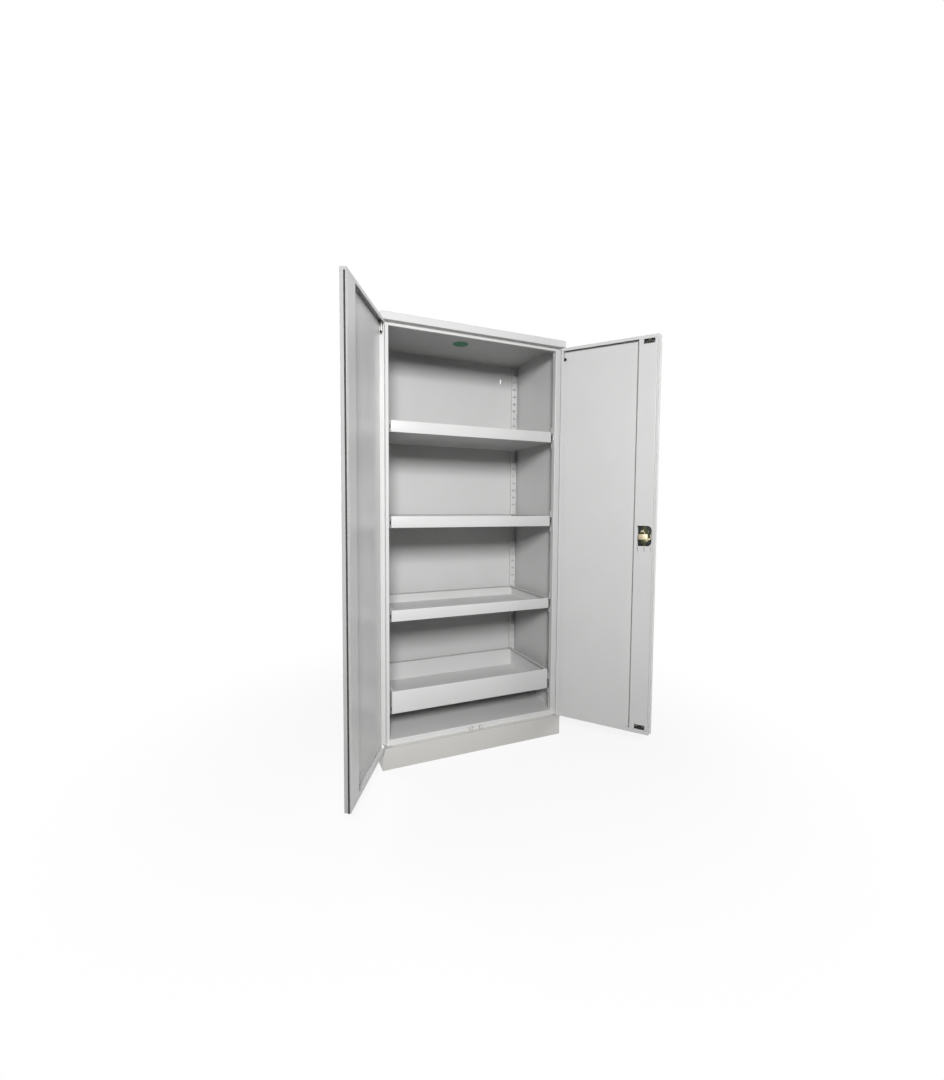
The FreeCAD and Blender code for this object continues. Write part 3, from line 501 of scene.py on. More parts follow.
def cast_metal(name, colour, sheen):
    """Die-cast zinc with a pebbled skin and lighter rubbed heights."""
    cast = Finish(name)
    pebble = cast.noise(0.0011, 3.0, 0.6)
    cloud = cast.noise(0.009, 3.0, seed=4.0)
    metal = cast.blend(cloud.band(0.3, 0.7), tone(colour, 0.86), tone(colour, 1.05))
    metal = cast.blend(pebble.band(0.58, 0.75, 0.0, 0.5), metal, tone(colour, 1.18))
    cast.set(Base_Color=metal, Metallic=0.85, Roughness=sheen + pebble * 0.2)
    cast.set(Normal=cast.bump(pebble, 0.00010, 0.6))
    return cast.material


def turned_metal(name, colour):
    """Turned brass with a fine grain and a little tarnish."""
    brass = Finish(name)
    rings = brass.noise(0.0007, 1.0, seed=6.0)
    tarnish = brass.noise(0.003, 4.0, 0.7)
    metal = brass.blend(tarnish.band(0.4, 0.8), tone(colour, 1.05), tone(colour, 0.70))
    brass.set(Base_Color=metal, Metallic=1.0, Roughness=0.24 + tarnish * 0.25)
    brass.set(Normal=brass.bump(rings, 0.00003, 0.5))
    return brass.material


def moulded(name, colour, rough, grain=0.0008, sheen=0.5):
    """Moulded plastic with a spark-eroded grain and faint flow marks."""
    plastic = Finish(name)
    flow = plastic.noise(0.02, 2.0, stretch=(1.0, 1.0, 0.3), seed=8.0)
    skin = plastic.noise(grain, 2.0, 0.6)
    shade = plastic.blend(flow.band(0.3, 0.7), tone(colour, 0.90), tone(colour, 1.12))
    uneven = rough + skin * 0.12 - 0.06
    plastic.set(Base_Color=shade, Roughness=uneven, Specular_IOR_Level=sheen)
    plastic.set(Normal=plastic.bump(skin, 0.00005, 0.6))
    return plastic.material


def rubber(name, colour):
    """Soft rubber: dull, with a powdery bloom in patches."""
    soft = Finish(name)
    bloom = soft.noise(0.012, 4.0, 0.65)
    skin = soft.noise(0.0006, 2.0)
    shade = soft.blend(bloom.band(0.5, 0.85, 0.0, 0.25), colour, (0.30, 0.30, 0.30, 1.0))
    soft.set(Base_Color=shade, Roughness=0.70 + bloom * 0.2)
    soft.set(Normal=soft.bump(skin, 0.00004, 0.6))
    return soft.material


def plain_name(material):
    """A material's name without the number that tells it from another of that name."""
    return material.name.split(".")[0]


FINISHES = {}

# Properties.


def colour_choice(name, description, default):
    return bpy.props.FloatVectorProperty(
        name=name, description=description, default=default, subtype="COLOR", min=0.0, max=1.0
    )


def length_choice(name, description, default, smallest):
    return bpy.props.FloatProperty(
        name=name, description=description, default=default, min=smallest, unit="LENGTH"
    )


class CabinetColours(bpy.types.PropertyGroup):
    body_paint: colour_choice(
        "Body paint", "Powder coat of the body and the doors", (0.530, 0.533, 0.528)
    )
    tray_paint: colour_choice(
        "Tray paint", "Powder coat of the pull-out trays", (0.530, 0.533, 0.528)
    )
    plinth_paint: colour_choice("Plinth paint", "Powder coat of the plinth", (0.520, 0.510, 0.490))
    zinc: colour_choice("Zinc plate", "Plated slides and screws", (0.62, 0.62, 0.61))
    cast_zinc: colour_choice(
        "Passivated casting", "Yellow passivated lock case", (0.46, 0.40, 0.27)
    )
    brass: colour_choice("Brass", "Key core", (0.62, 0.47, 0.22))
    dark_plastic: colour_choice(
        "Dark plastic", "Handle, cup, catches, guides and bushes", (0.014, 0.014, 0.015)
    )
    plug: colour_choice(
        "Outlet plug", "Plastic of the disc that closes the outlet", (0.020, 0.230, 0.110)
    )
    olive_zinc: colour_choice("Olive passivated zinc", "Lock rods and cam", (0.060, 0.062, 0.036))


class CabinetSizes(bpy.types.PropertyGroup):
    slot_pitch: length_choice(
        "Slot pitch", "Distance between the slots of the uprights", 0.04125, 0.01
    )
    slot_height: length_choice("Slot height", "Height of one slot", 0.012, 0.004)
    slot_width: length_choice("Slot width", "Width of one slot", 0.004, 0.002)
    cross_height: length_choice(
        "Cross slot height", "Height of the level part of a slot", 0.005, 0.002
    )
    cross_width: length_choice(
        "Cross slot width", "Width of the level part of a slot", 0.017, 0.004
    )
    sheet: length_choice("Sheet", "Thickness of the folded sheet", 0.0012, 0.0005)
    tray_bend: length_choice("Tray bend", "Outer radius of the folds of the trays", 0.0022, 0.001)
    screw_head: length_choice(
        "Screw head", "Radius of the pan-head screws in slides and trays", 0.0036, 0.002
    )
    spring_wire: length_choice(
        "Spring wire", "Thickness of the wire of the pin springs", 0.0008, 0.0004
    )


def colours():
    return bpy.context.scene.cabinet_colours


def sizes():
    return bpy.context.scene.cabinet_sizes


# Small fittings.


def domed_head(radius, height, sides, dome, ring, sink):
    """A round head on the origin, with a domed edge and a sunk ring, as shares of its size."""
    made = rod((0, 0, 0), (0, 0, height), radius, sides)
    round_off(made, level_with(2, height), height * dome, 4)
    pick(made, "FACE", facing((0, 0, 1), height))
    bpy.ops.mesh.inset(thickness=radius * ring, depth=-height * sink)
    return made


def stand_on(made, centre, direction):
    """Put a head made on the origin onto a face."""
    turn = Vector(direction).to_track_quat("Z", "Y").to_matrix().to_4x4()
    return place_by(made, Matrix.Translation(centre) @ turn)


def pan_head(centre, direction, radius, height):
    """A domed screw head with a cross recess, standing on a face."""
    made = domed_head(radius, height, 24, 0.72, 0.02, 0.0)
    half_wide = radius * 0.14
    half_long = radius * 0.62
    for x, y in ((half_wide, half_long), (half_long, half_wide)):
        cut_away(made, block((-x, -y, height * 0.45), (x, y, height * 2.0)))
    return stand_on(made, centre, direction)


def rivet_head(centre, direction, radius, height):
    """A plain domed rivet head with a set ring."""
    return stand_on(domed_head(radius, height, 20, 0.85, 0.10, 0.25), centre, direction)


def rows_of_heads(head, place, spacing, faces, radius, height):
    """Three heads in a row on either side, facing out (1) or in (-1); place is the first's."""
    x, y, z = place
    rows = []
    for side in (-1, 1):
        first = head((side * x, y, z), (side * faces, 0, 0), radius, height)
        rows.append(repeat(first, 3, (0, spacing, 0)))
    return rows


def d_plate(width, height, inwards):
    """A plate in door space with round corners on the side of the free edge."""
    right = width / 2
    up = (-height / 2, height / 2)
    made = lock_block((-right, right), inwards, up)
    corners = (running(1, (0, LOCK_U + right), (2, LOCK_Z + z)) for z in up)
    round_off(made, either(*corners), 0.020, 10)
    return made


# Operators.


class CABINET_OT_finishes(bpy.types.Operator):
    """Make the finishes and put them on the parts that keep their shape"""

    bl_idname = "cabinet.finishes"
    bl_label = "Finishes"

    def execute(self, context):
        paint = colours()
        free_edge = 0.4474
        outwards = LEFT_DOOR.to_3x3() @ Vector((1.0, 0.0, 0.0))
        edge_start = (LEFT_DOOR @ Vector((free_edge, 0.0, 0.0))).dot(outwards)
        made = (
            powder_coat("body_paint", paint.body_paint),
            # The back panel is painted near black behind the rear uprights as painted shade, seen
            # through their slots and the gap beside them.
            powder_coat("back_paint", paint.body_paint, painted_shade_span=ROOM_BEHIND_REAR_UPRIGHTS),
            # The left door's free edge face is darkened as painted shade.
            powder_coat(
                "left_door_paint",
                paint.body_paint,
                edge_shade=(tuple(outwards), edge_start),
                outer=outer_skin(LEFT_DOOR),
            ),
            powder_coat("right_door_paint", paint.body_paint, outer=outer_skin(RIGHT_DOOR)),
            powder_coat("tray_paint", paint.tray_paint),
            powder_coat("plinth_paint", paint.plinth_paint, dust=0.10),
            zinc_plate("zinc_plate", paint.zinc),
            cast_metal("cast_zinc", paint.cast_zinc, 0.38),
            turned_metal("brass", paint.brass),
            moulded("black_plastic", paint.dark_plastic, 0.42, sheen=0.25),
            moulded("guide_plastic", paint.dark_plastic, 0.5, sheen=0.25),
            zinc_plate("olive_zinc", paint.olive_zinc),
            moulded("cage_plastic", (0.70, 0.69, 0.66), 0.5),
            rubber("seal_rubber", (0.016, 0.016, 0.016, 1.0)),
            moulded("buffer_rubber", (0.80, 0.80, 0.78), 0.6, 0.0012),
            moulded("plug_plastic", paint.plug, 0.5),
            zinc_plate("ball_steel", (0.72, 0.72, 0.74)),
        )
        FINISHES.update((plain_name(material), material) for material in made)
        own = {"plinth": "plinth_paint", "back_panel": "back_paint"}
        own["right_door_pan"] = "right_door_paint"
        own.update(dict.fromkeys(("left_door_pan", "left_door_stile"), "left_door_paint"))
        own.update(dict.fromkeys(("lock_cam", "upper_lock_rod", "lower_lock_rod"), "olive_zinc"))
        for name, node in NODES.items():
            slot = node.material_slots[0]
            slot.material = FINISHES[own.get(name, plain_name(slot.material))]
        return {"FINISHED"}


def fold_tray(number):
    """One tray: a rounded block, hollowed from above and wider under its flanges."""
    size = sizes()
    gauge = size.sheet
    front_flange = 0.009
    flange = 0.014
    name = "tray_%d" % number
    low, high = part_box(name)
    centre = (low + high) / 2
    half_x = (high.x - low.x) / 2
    deep = high.y - low.y
    floor = low.z + gauge
    shell = block(low, high)
    round_off(shell, lambda edge: True, size.tray_bend, 4)
    pick(shell, "FACE", facing((0, 0, 1), high.z))
    bpy.ops.mesh.inset(thickness=front_flange - size.tray_bend, use_even_offset=True)
    corner = (centre.x, low.y + front_flange, high.z)
    scale_about(corner, ((half_x - flange) / (half_x - front_flange), 1, 1))
    opening = deep - front_flange - flange
    scale_about(corner, (1, opening / (deep - 2 * front_flange), 1))
    push(z=-gauge)
    push()
    scale_about(centre, ((half_x - gauge) / (half_x - flange), 1, 1))
    factor = (deep - 2 * gauge) / opening
    fixed = (low.y + gauge - factor * (low.y + front_flange)) / (1 - factor)
    scale_about((centre.x, fixed, high.z), (1, factor, 1))
    push(z=floor + gauge - high.z)

    def round_the_floor(edge):
        level = all(abs(vert.co.z - floor) < 1e-5 for vert in edge.verts)
        return level and not all(face.normal.z > 0.9 for face in edge.link_faces)

    round_off(shell, round_the_floor, size.tray_bend - gauge, 3)
    dress(shell, "folded_" + name, "tray_body_%d" % number, "tray_paint", name)


class CABINET_OT_trays(bpy.types.Operator):
    """Fold the four spill trays, with rounded bends and mitred flanges"""

    bl_idname = "cabinet.trays"
    bl_label = "Spill trays"

    def execute(self, context):
        for number in TRAYS:
            fold_tray(number)
        return {"FINISHED"}


def set_tray_screws(number):
    """The screws that hold one tray to its slides."""
    size = sizes()
    height = 0.0022
    from_front = 0.055
    spacing = 0.142
    low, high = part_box("tray_%d" % number)
    slide_low, slide_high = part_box("slide_inner_%d" % number)
    level = (slide_low.z + slide_high.z) / 2
    place = (high.x - size.sheet, low.y + from_front, level)
    heads = rows_of_heads(pan_head, place, spacing, -1, size.screw_head, height)
    body = "tray_body_%d" % number
    dress(gather(heads), "tray_screws_%d" % number, body, "zinc_plate")


class CABINET_OT_tray_screws(bpy.types.Operator):
    """Set the pan-head screws that hold each tray to its slides"""

    bl_idname = "cabinet.tray_screws"
    bl_label = "Tray screws"

    def execute(self, context):
        for number in TRAYS:
            set_tray_screws(number)
        return {"FINISHED"}


def cage_rows(node):
    """The middle of each cage bar, seen along the slide, from its island of points."""
    reach = 0.004
    spots = {}
    for vertex in node.data.vertices:
        x, _, z = vertex.co
        near = (spot for spot in spots if abs(spot[0] - x) < reach and abs(spot[1] - z) < reach)
        spots.setdefault(next(near, (x, z)), []).append((x, z))
    rows = []
    for points in spots.values():
        rows.append([(min(values) + max(values)) / 2 for values in zip(*points)])
    return rows


def seat_balls(number):
    """The rows of balls of one tray's slides."""
    radius = 0.0017
    from_end = 0.012
    count = 12
    cage = "slide_cages_%d" % number
    low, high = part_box(cage)
    spacing = (high.y - low.y - 2 * from_end) / (count - 1)
    rows = []
    for x, z in cage_rows(NODES[cage]):
        rest()
        bpy.ops.mesh.primitive_uv_sphere_add(
            segments=10, ring_count=6, radius=radius, location=(x, low.y + from_end, z)
        )
        ball = bpy.context.object
        settle()
        rows.append(repeat(ball, count, (0, spacing, 0)))
    body = "slide_body_%d" % number
    balls = "slide_balls_%d" % number
    dress(gather(rows), balls, body, "zinc_plate", look="ball_steel")


class CABINET_OT_slide_balls(bpy.types.Operator):
    """Seat the rows of steel balls in the cages of the slides"""

    bl_idname = "cabinet.slide_balls"
    bl_label = "Slide balls"

    def execute(self, context):
        for number in TRAYS:
            seat_balls(number)
        return {"FINISHED"}


def mould_catches(number):
    """The levers of one tray's slides."""
    lever_thickness = 0.0031
    rib_reach = 0.0043
    rib_width = 0.0011
    rib_spacing = 0.0018
    name = "slide_catches_%d" % number
    low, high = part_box(name)
    levers = []
    for side in (-1, 1):
        inner = side * (high.x - lever_thickness)
        x0, x1 = sorted((side * high.x, inner))
        lever = block((x0, low.y, low.z), (x1, high.y, high.z))
        round_off(lever, running(0), 0.0022, 3)
        x0, x1 = sorted((inner, side * (high.x - rib_reach)))
        for rib in range(4):
            start = low.y + 0.0008 + rib * rib_spacing
            rib_low = (x0, start, low.z + 0.0005)
            rib_high = (x1, start + rib_width, low.z + 0.0048)
            levers.append(block(rib_low, rib_high))
        levers.append(lever)
    made = soften(gather(levers), 0.0002, 1)
    body = "tray_body_%d" % number
    dress(made, "catch_levers_%d" % number, body, "black_plastic", name)


class CABINET_OT_catches(bpy.types.Operator):
    """Mould the release levers of the slides, ribbed for the finger"""

    bl_idname = "cabinet.catches"
    bl_label = "Slide catches"

    def execute(self, context):
        for number in TRAYS:
            mould_catches(number)
        return {"FINISHED"}


def slot_line():
    """The x of the slots: the middle of the hooks of the rails."""
    return max(abs(vertex.co.x) for vertex in NODES["tray_rails"].data.vertices) - 0.004


def upright_sheet(low, high, web_y, flange_y):
    """A channel of folded sheet with a column of cross-shaped slots.

    low and high are the corners of the web, and flange_y is where the flanges end.
    """
    size = sizes()
    pitch = size.slot_pitch
    slot_x = slot_line()
    margin = 0.02
    count = int((high.z - margin - FIRST_SLOT) // pitch) + 1
    marks_z = [low.z]
    for index in range(count):
        level = FIRST_SLOT + index * pitch
        for offset in (-size.slot_height, -size.cross_height, size.cross_height, size.slot_height):
            marks_z.append(level + offset / 2)
    marks_z.append(high.z)
    marks_x = [low.x, high.x]
    for width in (size.slot_width, size.cross_width):
        marks_x += [slot_x - width / 2, slot_x + width / 2]
    marks_x.sort()
    rest()
    bpy.ops.mesh.primitive_grid_add(
        x_subdivisions=len(marks_x) - 1, y_subdivisions=len(marks_z) - 1, size=1.0
    )
    web = bpy.context.object
    for index, vert in enumerate(web.data.vertices):
        row, column = divmod(index, len(marks_x))
        vert.co = (marks_x[column], web_y, marks_z[row])

    def is_slot(face):
        centre = middle(face)
        across = abs(centre.x - slot_x)
        up = abs(((centre.z - FIRST_SLOT + pitch / 2) % pitch) - pitch / 2)
        if not marks_z[1] < centre.z < marks_z[-2]:
            return False
        upright = across < size.slot_width / 2 and up < size.slot_height / 2
        return upright or (across < size.cross_width / 2 and up < size.cross_height / 2)

    pick(web, "FACE", is_slot)
    bpy.ops.mesh.delete(type="FACE")
    pick(web, "EDGE", either(running(2, (0, low.x)), running(2, (0, high.x))))
    push(y=flange_y - web_y)
    folds = (running(2, (0, x), (1, web_y)) for x in (low.x, high.x))
    round_off(web, either(*folds), 0.0018, 3)
    return modify(web, "SOLIDIFY", thickness=size.sheet, offset=0.0, use_even_offset=True)


class CABINET_OT_uprights(bpy.types.Operator):
    """Fold the slotted uprights at their full slot pitch"""

    bl_idname = "cabinet.uprights"
    bl_label = "Slotted uprights"

    def execute(self, context):
        half = sizes().sheet / 2
        rear_web_end = 0.4372
        for name in ("rear_uprights", "front_uprights"):
            rear = name == "rear_uprights"
            low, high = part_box(name)
            inner = min(abs(vertex.co.x) for vertex in NODES[name].data.vertices)
            right = upright_sheet(
                Vector((inner + half, low.y, low.z)),
                Vector((rear_web_end if rear else high.x - half, high.y, high.z)),
                low.y + half if rear else high.y - half,
                high.y if rear else low.y,
            )
            dress(with_twin(right), "slotted_" + name, "carcass", "body_paint", name)
        return {"FINISHED"}


class CABINET_OT_rails(bpy.types.Operator):
    """Fold the tray rails: a low web between two upright plates that hook into the slots"""

    bl_idname = "cabinet.rails"
    bl_label = "Tray rails"

    def execute(self, context):
        gauge = 0.0015
        half_web = 0.0235
        half_hook = Vector((0.0017, 0.0, 0.0057))
        hook_reach = 0.006
        low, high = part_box("tray_rails")
        slide_low, slide_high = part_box("slide_outer_4")
        start = low.y + hook_reach - gauge / 2
        end = high.y - hook_reach + gauge / 2
        top = low.z + (slide_high.z - slide_low.z) + 2 * (slide_low.z - low.z)
        level = (low.z + top) / 2
        inner = slide_high.x
        web = block((inner, start, level - half_web), (inner + gauge, end, level + half_web))
        for y in (start, end - gauge):
            web = weld_onto(web, block((inner, y, low.z), (high.x, y + gauge, top)))
        soften(web, 0.0005, 2)
        pieces = [web]
        for height in (level - sizes().slot_pitch, level + sizes().slot_pitch):
            for y0, y1 in ((low.y, start + gauge / 2), (end - gauge / 2, high.y)):
                hook_low = Vector((slot_line(), y0, height)) - half_hook
                hook_high = Vector((slot_line(), y1, height)) + half_hook
                pieces.append(block(hook_low, hook_high))
        right = repeat(gather(pieces), len(TRAYS), (0, 0, TRAY_STEP))
        dress(with_twin(right), "folded_tray_rails", "carcass", "body_paint", "tray_rails")
        return {"FINISHED"}


class CABINET_OT_door_seal(bpy.types.Operator):
    """Extrude the hollow bulb seal on the left door's free edge"""

    bl_idname = "cabinet.door_seal"
    bl_label = "Door seal"

    def execute(self, context):
        u0, u1 = 0.448, 0.4512
        w0, w1 = 0.014, 0.020
        low, high = 0.097, 1.902
        groove_depth = 0.0011
        half_groove = 0.0003
        strip = block((u0, w0, low), (u1, w1, high))
        corners = (running(2, (0, u1), (1, w)) for w in (w0, w1))
        round_off(strip, either(*corners), 0.0026, 6)
        for w in (w0 + 0.0014, w1 - 0.0014):
            groove_low = (u1 - groove_depth, w - half_groove, low - 0.01)
            groove_high = (u1 + 0.01, w + half_groove, high + 0.01)
            cut_away(strip, block(groove_low, groove_high))
        dress(strip, "bulb_seal", "left_door", "seal_rubber", "left_door_seal", door=LEFT_DOOR)
        return {"FINISHED"}


class CABINET_OT_buffers(bpy.types.Operator):
    """Mould the two domed pads on the sill"""

    bl_idname = "cabinet.buffers"
    bl_label = "Door buffers"

    def execute(self, context):
        low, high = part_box("door_buffers")
        width = 0.012
        pads = []
        for side in (-1, 1):
            x = side * (high.x - width / 2)
            pad = block((x - width / 2, low.y, low.z), (x + width / 2, high.y, high.z))
            pick(pad, "FACE", facing((0, -1, 0)))
            bpy.ops.mesh.inset(thickness=0.0009)
            round_off(pad, running(1), 0.0025, 5)
            round_off(pad, level_with(1, low.y, 1e-5), 0.0008, 3)
            pads.append(pad)
        dress(gather(pads), "sill_pads", "carcass", "buffer_rubber", "door_buffers")
        return {"FINISHED"}


class CABINET_OT_handle(bpy.types.Operator):
    """Mould the T handle with its rose, its shaft and the square for the cam"""

    bl_idname = "cabinet.handle"
    bl_label = "T handle"

    def execute(self, context):
        rose_thickness = 0.0025
        cup_floor = 0.012
        gap = 0.00005
        rose_w = cup_floor - gap - rose_thickness
        grip_half = 0.026
        square_half = 0.0035
        shaft_end, square_end = 0.0165, 0.0185
        rose = lock_rod((rose_w, rose_w + rose_thickness), 0.024, 64)
        round_off(rose, level_with(1, rose_w), 0.0009, 3)
        pick(rose, "FACE", facing((0, -1, 0), rose_w, 1))
        bpy.ops.mesh.inset(thickness=0.0030, depth=0.0)
        bpy.ops.mesh.inset(thickness=0.0012, depth=-0.0004)
        grip_w = (-0.0008, rose_w + 0.0004)
        grip = lock_block((-grip_half, grip_half), grip_w, (-0.0055, 0.0055))
        pick(grip, "EDGE", running(0))
        bpy.ops.mesh.subdivide(number_cuts=7)
        pick(grip, "VERT", lambda vert: abs(vert.co.x - LOCK_U) < 0.0095)
        scale_about((LOCK_U, 0, LOCK_Z), (1, 1, 1.42))
        pick(grip, "VERT", lambda vert: abs(vert.co.x - LOCK_U) > 0.0165 and vert.co.y > 0.004)
        scale_about((LOCK_U, 0, LOCK_Z), (1, 1, 0.72))

        def across_an_end(edge):
            at_end = abs(abs(middle(edge).x - LOCK_U) - grip_half) < 1e-5
            return at_end and abs(edge.verts[0].co.y - edge.verts[1].co.y) > 0.004

        round_off(grip, across_an_end, 0.0032, 5)
        soften(grip, 0.0007, 3, 25.0)
        shaft = lock_rod((rose_w + 0.002, shaft_end), 0.005, 40)
        half = (-square_half, square_half)
        square = lock_block(half, (shaft_end, square_end), half)
        made = weld_onto(weld_onto(rose, grip), shaft)
        cut_away(made, lock_rod((-0.004, 0.0090), 0.00455, 48))
        made = gather([made, square])
        on_right_door(made, "t_handle", "black_plastic", "turn_handle", body="lock_handle")
        return {"FINISHED"}


class CABINET_OT_handle_cup(bpy.types.Operator):
    """Mould the recessed cup behind the handle, with a rounded rim"""

    bl_idname = "cabinet.handle_cup"
    bl_label = "Handle cup"

    def execute(self, context):
        rim = d_plate(0.066, 0.112, (-0.0018, 0.0))
        body = d_plate(0.0559, 0.0999, (-0.0009, 0.014))
        made = weld_onto(rim, body)
        cut_away(made, d_plate(0.052, 0.096, (-0.004, 0.012)))
        cut_away(made, lock_rod((0.0, 0.030), BEARING_RADIUS, 40))
        soften(made, 0.0006, 3, 40.0)
        on_right_door(made, "handle_cup_moulded", "black_plastic", "handle_cup")
        return {"FINISHED"}


class CABINET_OT_lock_case(bpy.types.Operator):
    """Cast the lock case with its ears, ribs and stops, and set its screws"""

    bl_idname = "cabinet.lock_case"
    bl_label = "Lock case"

    def execute(self, context):
        w0, w1 = 0.014, 0.0162
        ear_z = 0.024
        stop_z = 0.013
        rib_z = 0.017
        plate = lock_block((-0.017, 0.017), (w0, w1), (-ear_z, ear_z))
        round_off(plate, running(1), 0.004, 5)
        for side in (-1, 1):
            plate = weld_onto(plate, lock_rod((w0, w1), 0.009, 48, side * ear_z))
        cut_away(plate, lock_rod((w0 - 0.004, w1 + 0.004), BEARING_RADIUS, 40))
        pieces = [soften(plate, 0.0004, 2, 40.0)]
        for side in (-1, 1):
            stop = lock_rod((w1 - 0.0004, w1 + 0.0022), 0.0022, 24, side * stop_z)
            pieces.append(stop)
        for u in (-0.0155, 0.0145):
            rib = lock_block((u, u + 0.001), (w1 - 0.0004, w1 + 0.0002), (-rib_z, rib_z))
            pieces.append(rib)
        pieces.append(self.bridge(w0))
        on_right_door(gather(pieces), "cast_lock_case", "cast_zinc", "lock_case")
        tab_w = 0.0219, 0.0227
        tab = lock_block((-0.0155, 0.0085), tab_w, (-0.0360, -0.0165))
        soften(tab, 0.0002, 2, 40.0)
        centre = (LOCK_U - 0.0035, tab_w[1], LOCK_Z - 0.028)
        screw = pan_head(centre, (0, 1, 0), 0.003, 0.0013)
        on_right_door(gather([tab, screw]), "lock_case_tab", "cast_zinc", look="olive_zinc")
        heads = []
        for side in (-1, 1):
            centre = (LOCK_U, w1, LOCK_Z + side * ear_z)
            heads.append(pan_head(centre, (0, 1, 0), 0.0034, HEAD_HEIGHT))
        on_right_door(gather(heads), "lock_case_screws", "zinc_plate", "lock_screws")
        screw = pan_head((LOCK_U, 0.0185, LOCK_Z), (0, 1, 0), 0.0033, 0.0018)
        rides = "lock_handle"
        on_right_door(screw, "cam_retaining_screw", "zinc_plate", "cam_screw", body=rides)
        return {"FINISHED"}

    def bridge(self, foot):
        """The yoke over the cam and the rods' feet, on two legs, open at the right."""
        half = 0.0262
        leg = 0.0014
        up = (-0.0165, 0.0075)
        bridge = lock_block((-half, half), (0.0219, 0.0231), up)
        for u0 in (-half, half - leg):
            bridge = weld_onto(bridge, lock_block((u0, u0 + leg), (foot, 0.0225), up))
        notch = lock_block((0.0135, 0.0300), (0.0165, 0.0240), (-0.0110, 0.0100))
        return soften(cut_away(bridge, notch), 0.0004, 2, 40.0)


class CABINET_OT_collar(bpy.types.Operator):
    """Spin the outlet collar on the roof, with its rolled bead and screws"""

    bl_idname = "cabinet.collar"
    bl_label = "Outlet collar"

    def execute(self, context):
        low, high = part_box("vent_collar")
        wall = 0.0012
        outer = 0.040
        bead = low.z + 0.75 * (high.z - low.z)
        screw_inset = 0.010
        flange = block((low.x, low.y, low.z), (high.x, high.y, low.z + wall))
        round_off(flange, running(2), 0.006, 5)
        tube = rod((0, 0, low.z + 0.0002), (0, 0, high.z), outer, 96)
        pick(tube, "EDGE", running(2))
        bpy.ops.mesh.subdivide(number_cuts=11)
        pick(tube, "VERT", lambda vert: abs(vert.co.z - bead) < 0.0022)
        scale_about((0, 0, 0), (0.985, 0.985, 1))
        made = weld_onto(flange, tube)
        bore = rod((0, 0, low.z - 0.01), (0, 0, high.z + 0.01), outer - wall, 96)
        cut_away(made, bore)
        heads = []
        for x in (-1, 1):
            for y in (-1, 1):
                centre = (x * (high.x - screw_inset), y * (high.y - screw_inset), low.z + wall)
                heads.append(pan_head(centre, (0, 0, 1), 0.0032, HEAD_HEIGHT))
        dress(made, "outlet_collar", "carcass", "body_paint", "vent_collar")
        dress(gather(heads), "collar_screws", "carcass", "zinc_plate")
        return {"FINISHED"}


def points_on_door(name, door):
    """The points of a CAD node in door space."""
    into_door = door.inverted()
    return [into_door @ vertex.co for vertex in NODES[name].data.vertices]


class CABINET_OT_guides(bpy.types.Operator):
    """Mould the two rod guides with their hooks and slots"""

    bl_idname = "cabinet.guides"
    bl_label = "Rod guides"

    def execute(self, context):
        plate = 0.0016
        behind = 0.0012
        leg = 0.0012
        places = points_on_door("rod_guides", RIGHT_DOOR)
        middle_z = sum(place.z for place in places) / len(places)
        pieces = []
        for above in (False, True):
            own = [place for place in places if (place.z > middle_z) == above]
            u0, w0, z0 = (min(place[axis] for place in own) for axis in range(3))
            u1, w1, z1 = (max(place[axis] for place in own) for axis in range(3))
            body = block((u0, w1 - plate, z0), (u1, w1, z1))
            round_off(body, running(1), 0.0014, 4)
            slot_low = (LOCK_U - 0.012, w1 - 0.004, z0 + 0.003)
            slot_high = (LOCK_U + 0.012, w1 + 0.004, z0 + 0.006)
            cut_away(body, block(slot_low, slot_high))
            pieces.append(soften(body, 0.0003, 2, 40.0))
            for side in (-1, 1):
                c0, c1 = sorted((LOCK_U + side * 0.0064, LOCK_U + side * 0.0100))
                cheek_low = (c0, w0, z0 + 0.0005)
                cheek_high = (c1, w1 - behind, z1 - 0.0005)
                pieces.append(block(cheek_low, cheek_high))
            for u in (u0 + leg, u1 - 2 * leg):
                leg_low = (u, w0 + 0.002, z0 + 0.001)
                leg_high = (u + leg, w1 - behind, z1 - 0.001)
                pieces.append(block(leg_low, leg_high))
        on_right_door(gather(pieces), "moulded_rod_guides", "guide_plastic", "rod_guides")
        return {"FINISHED"}


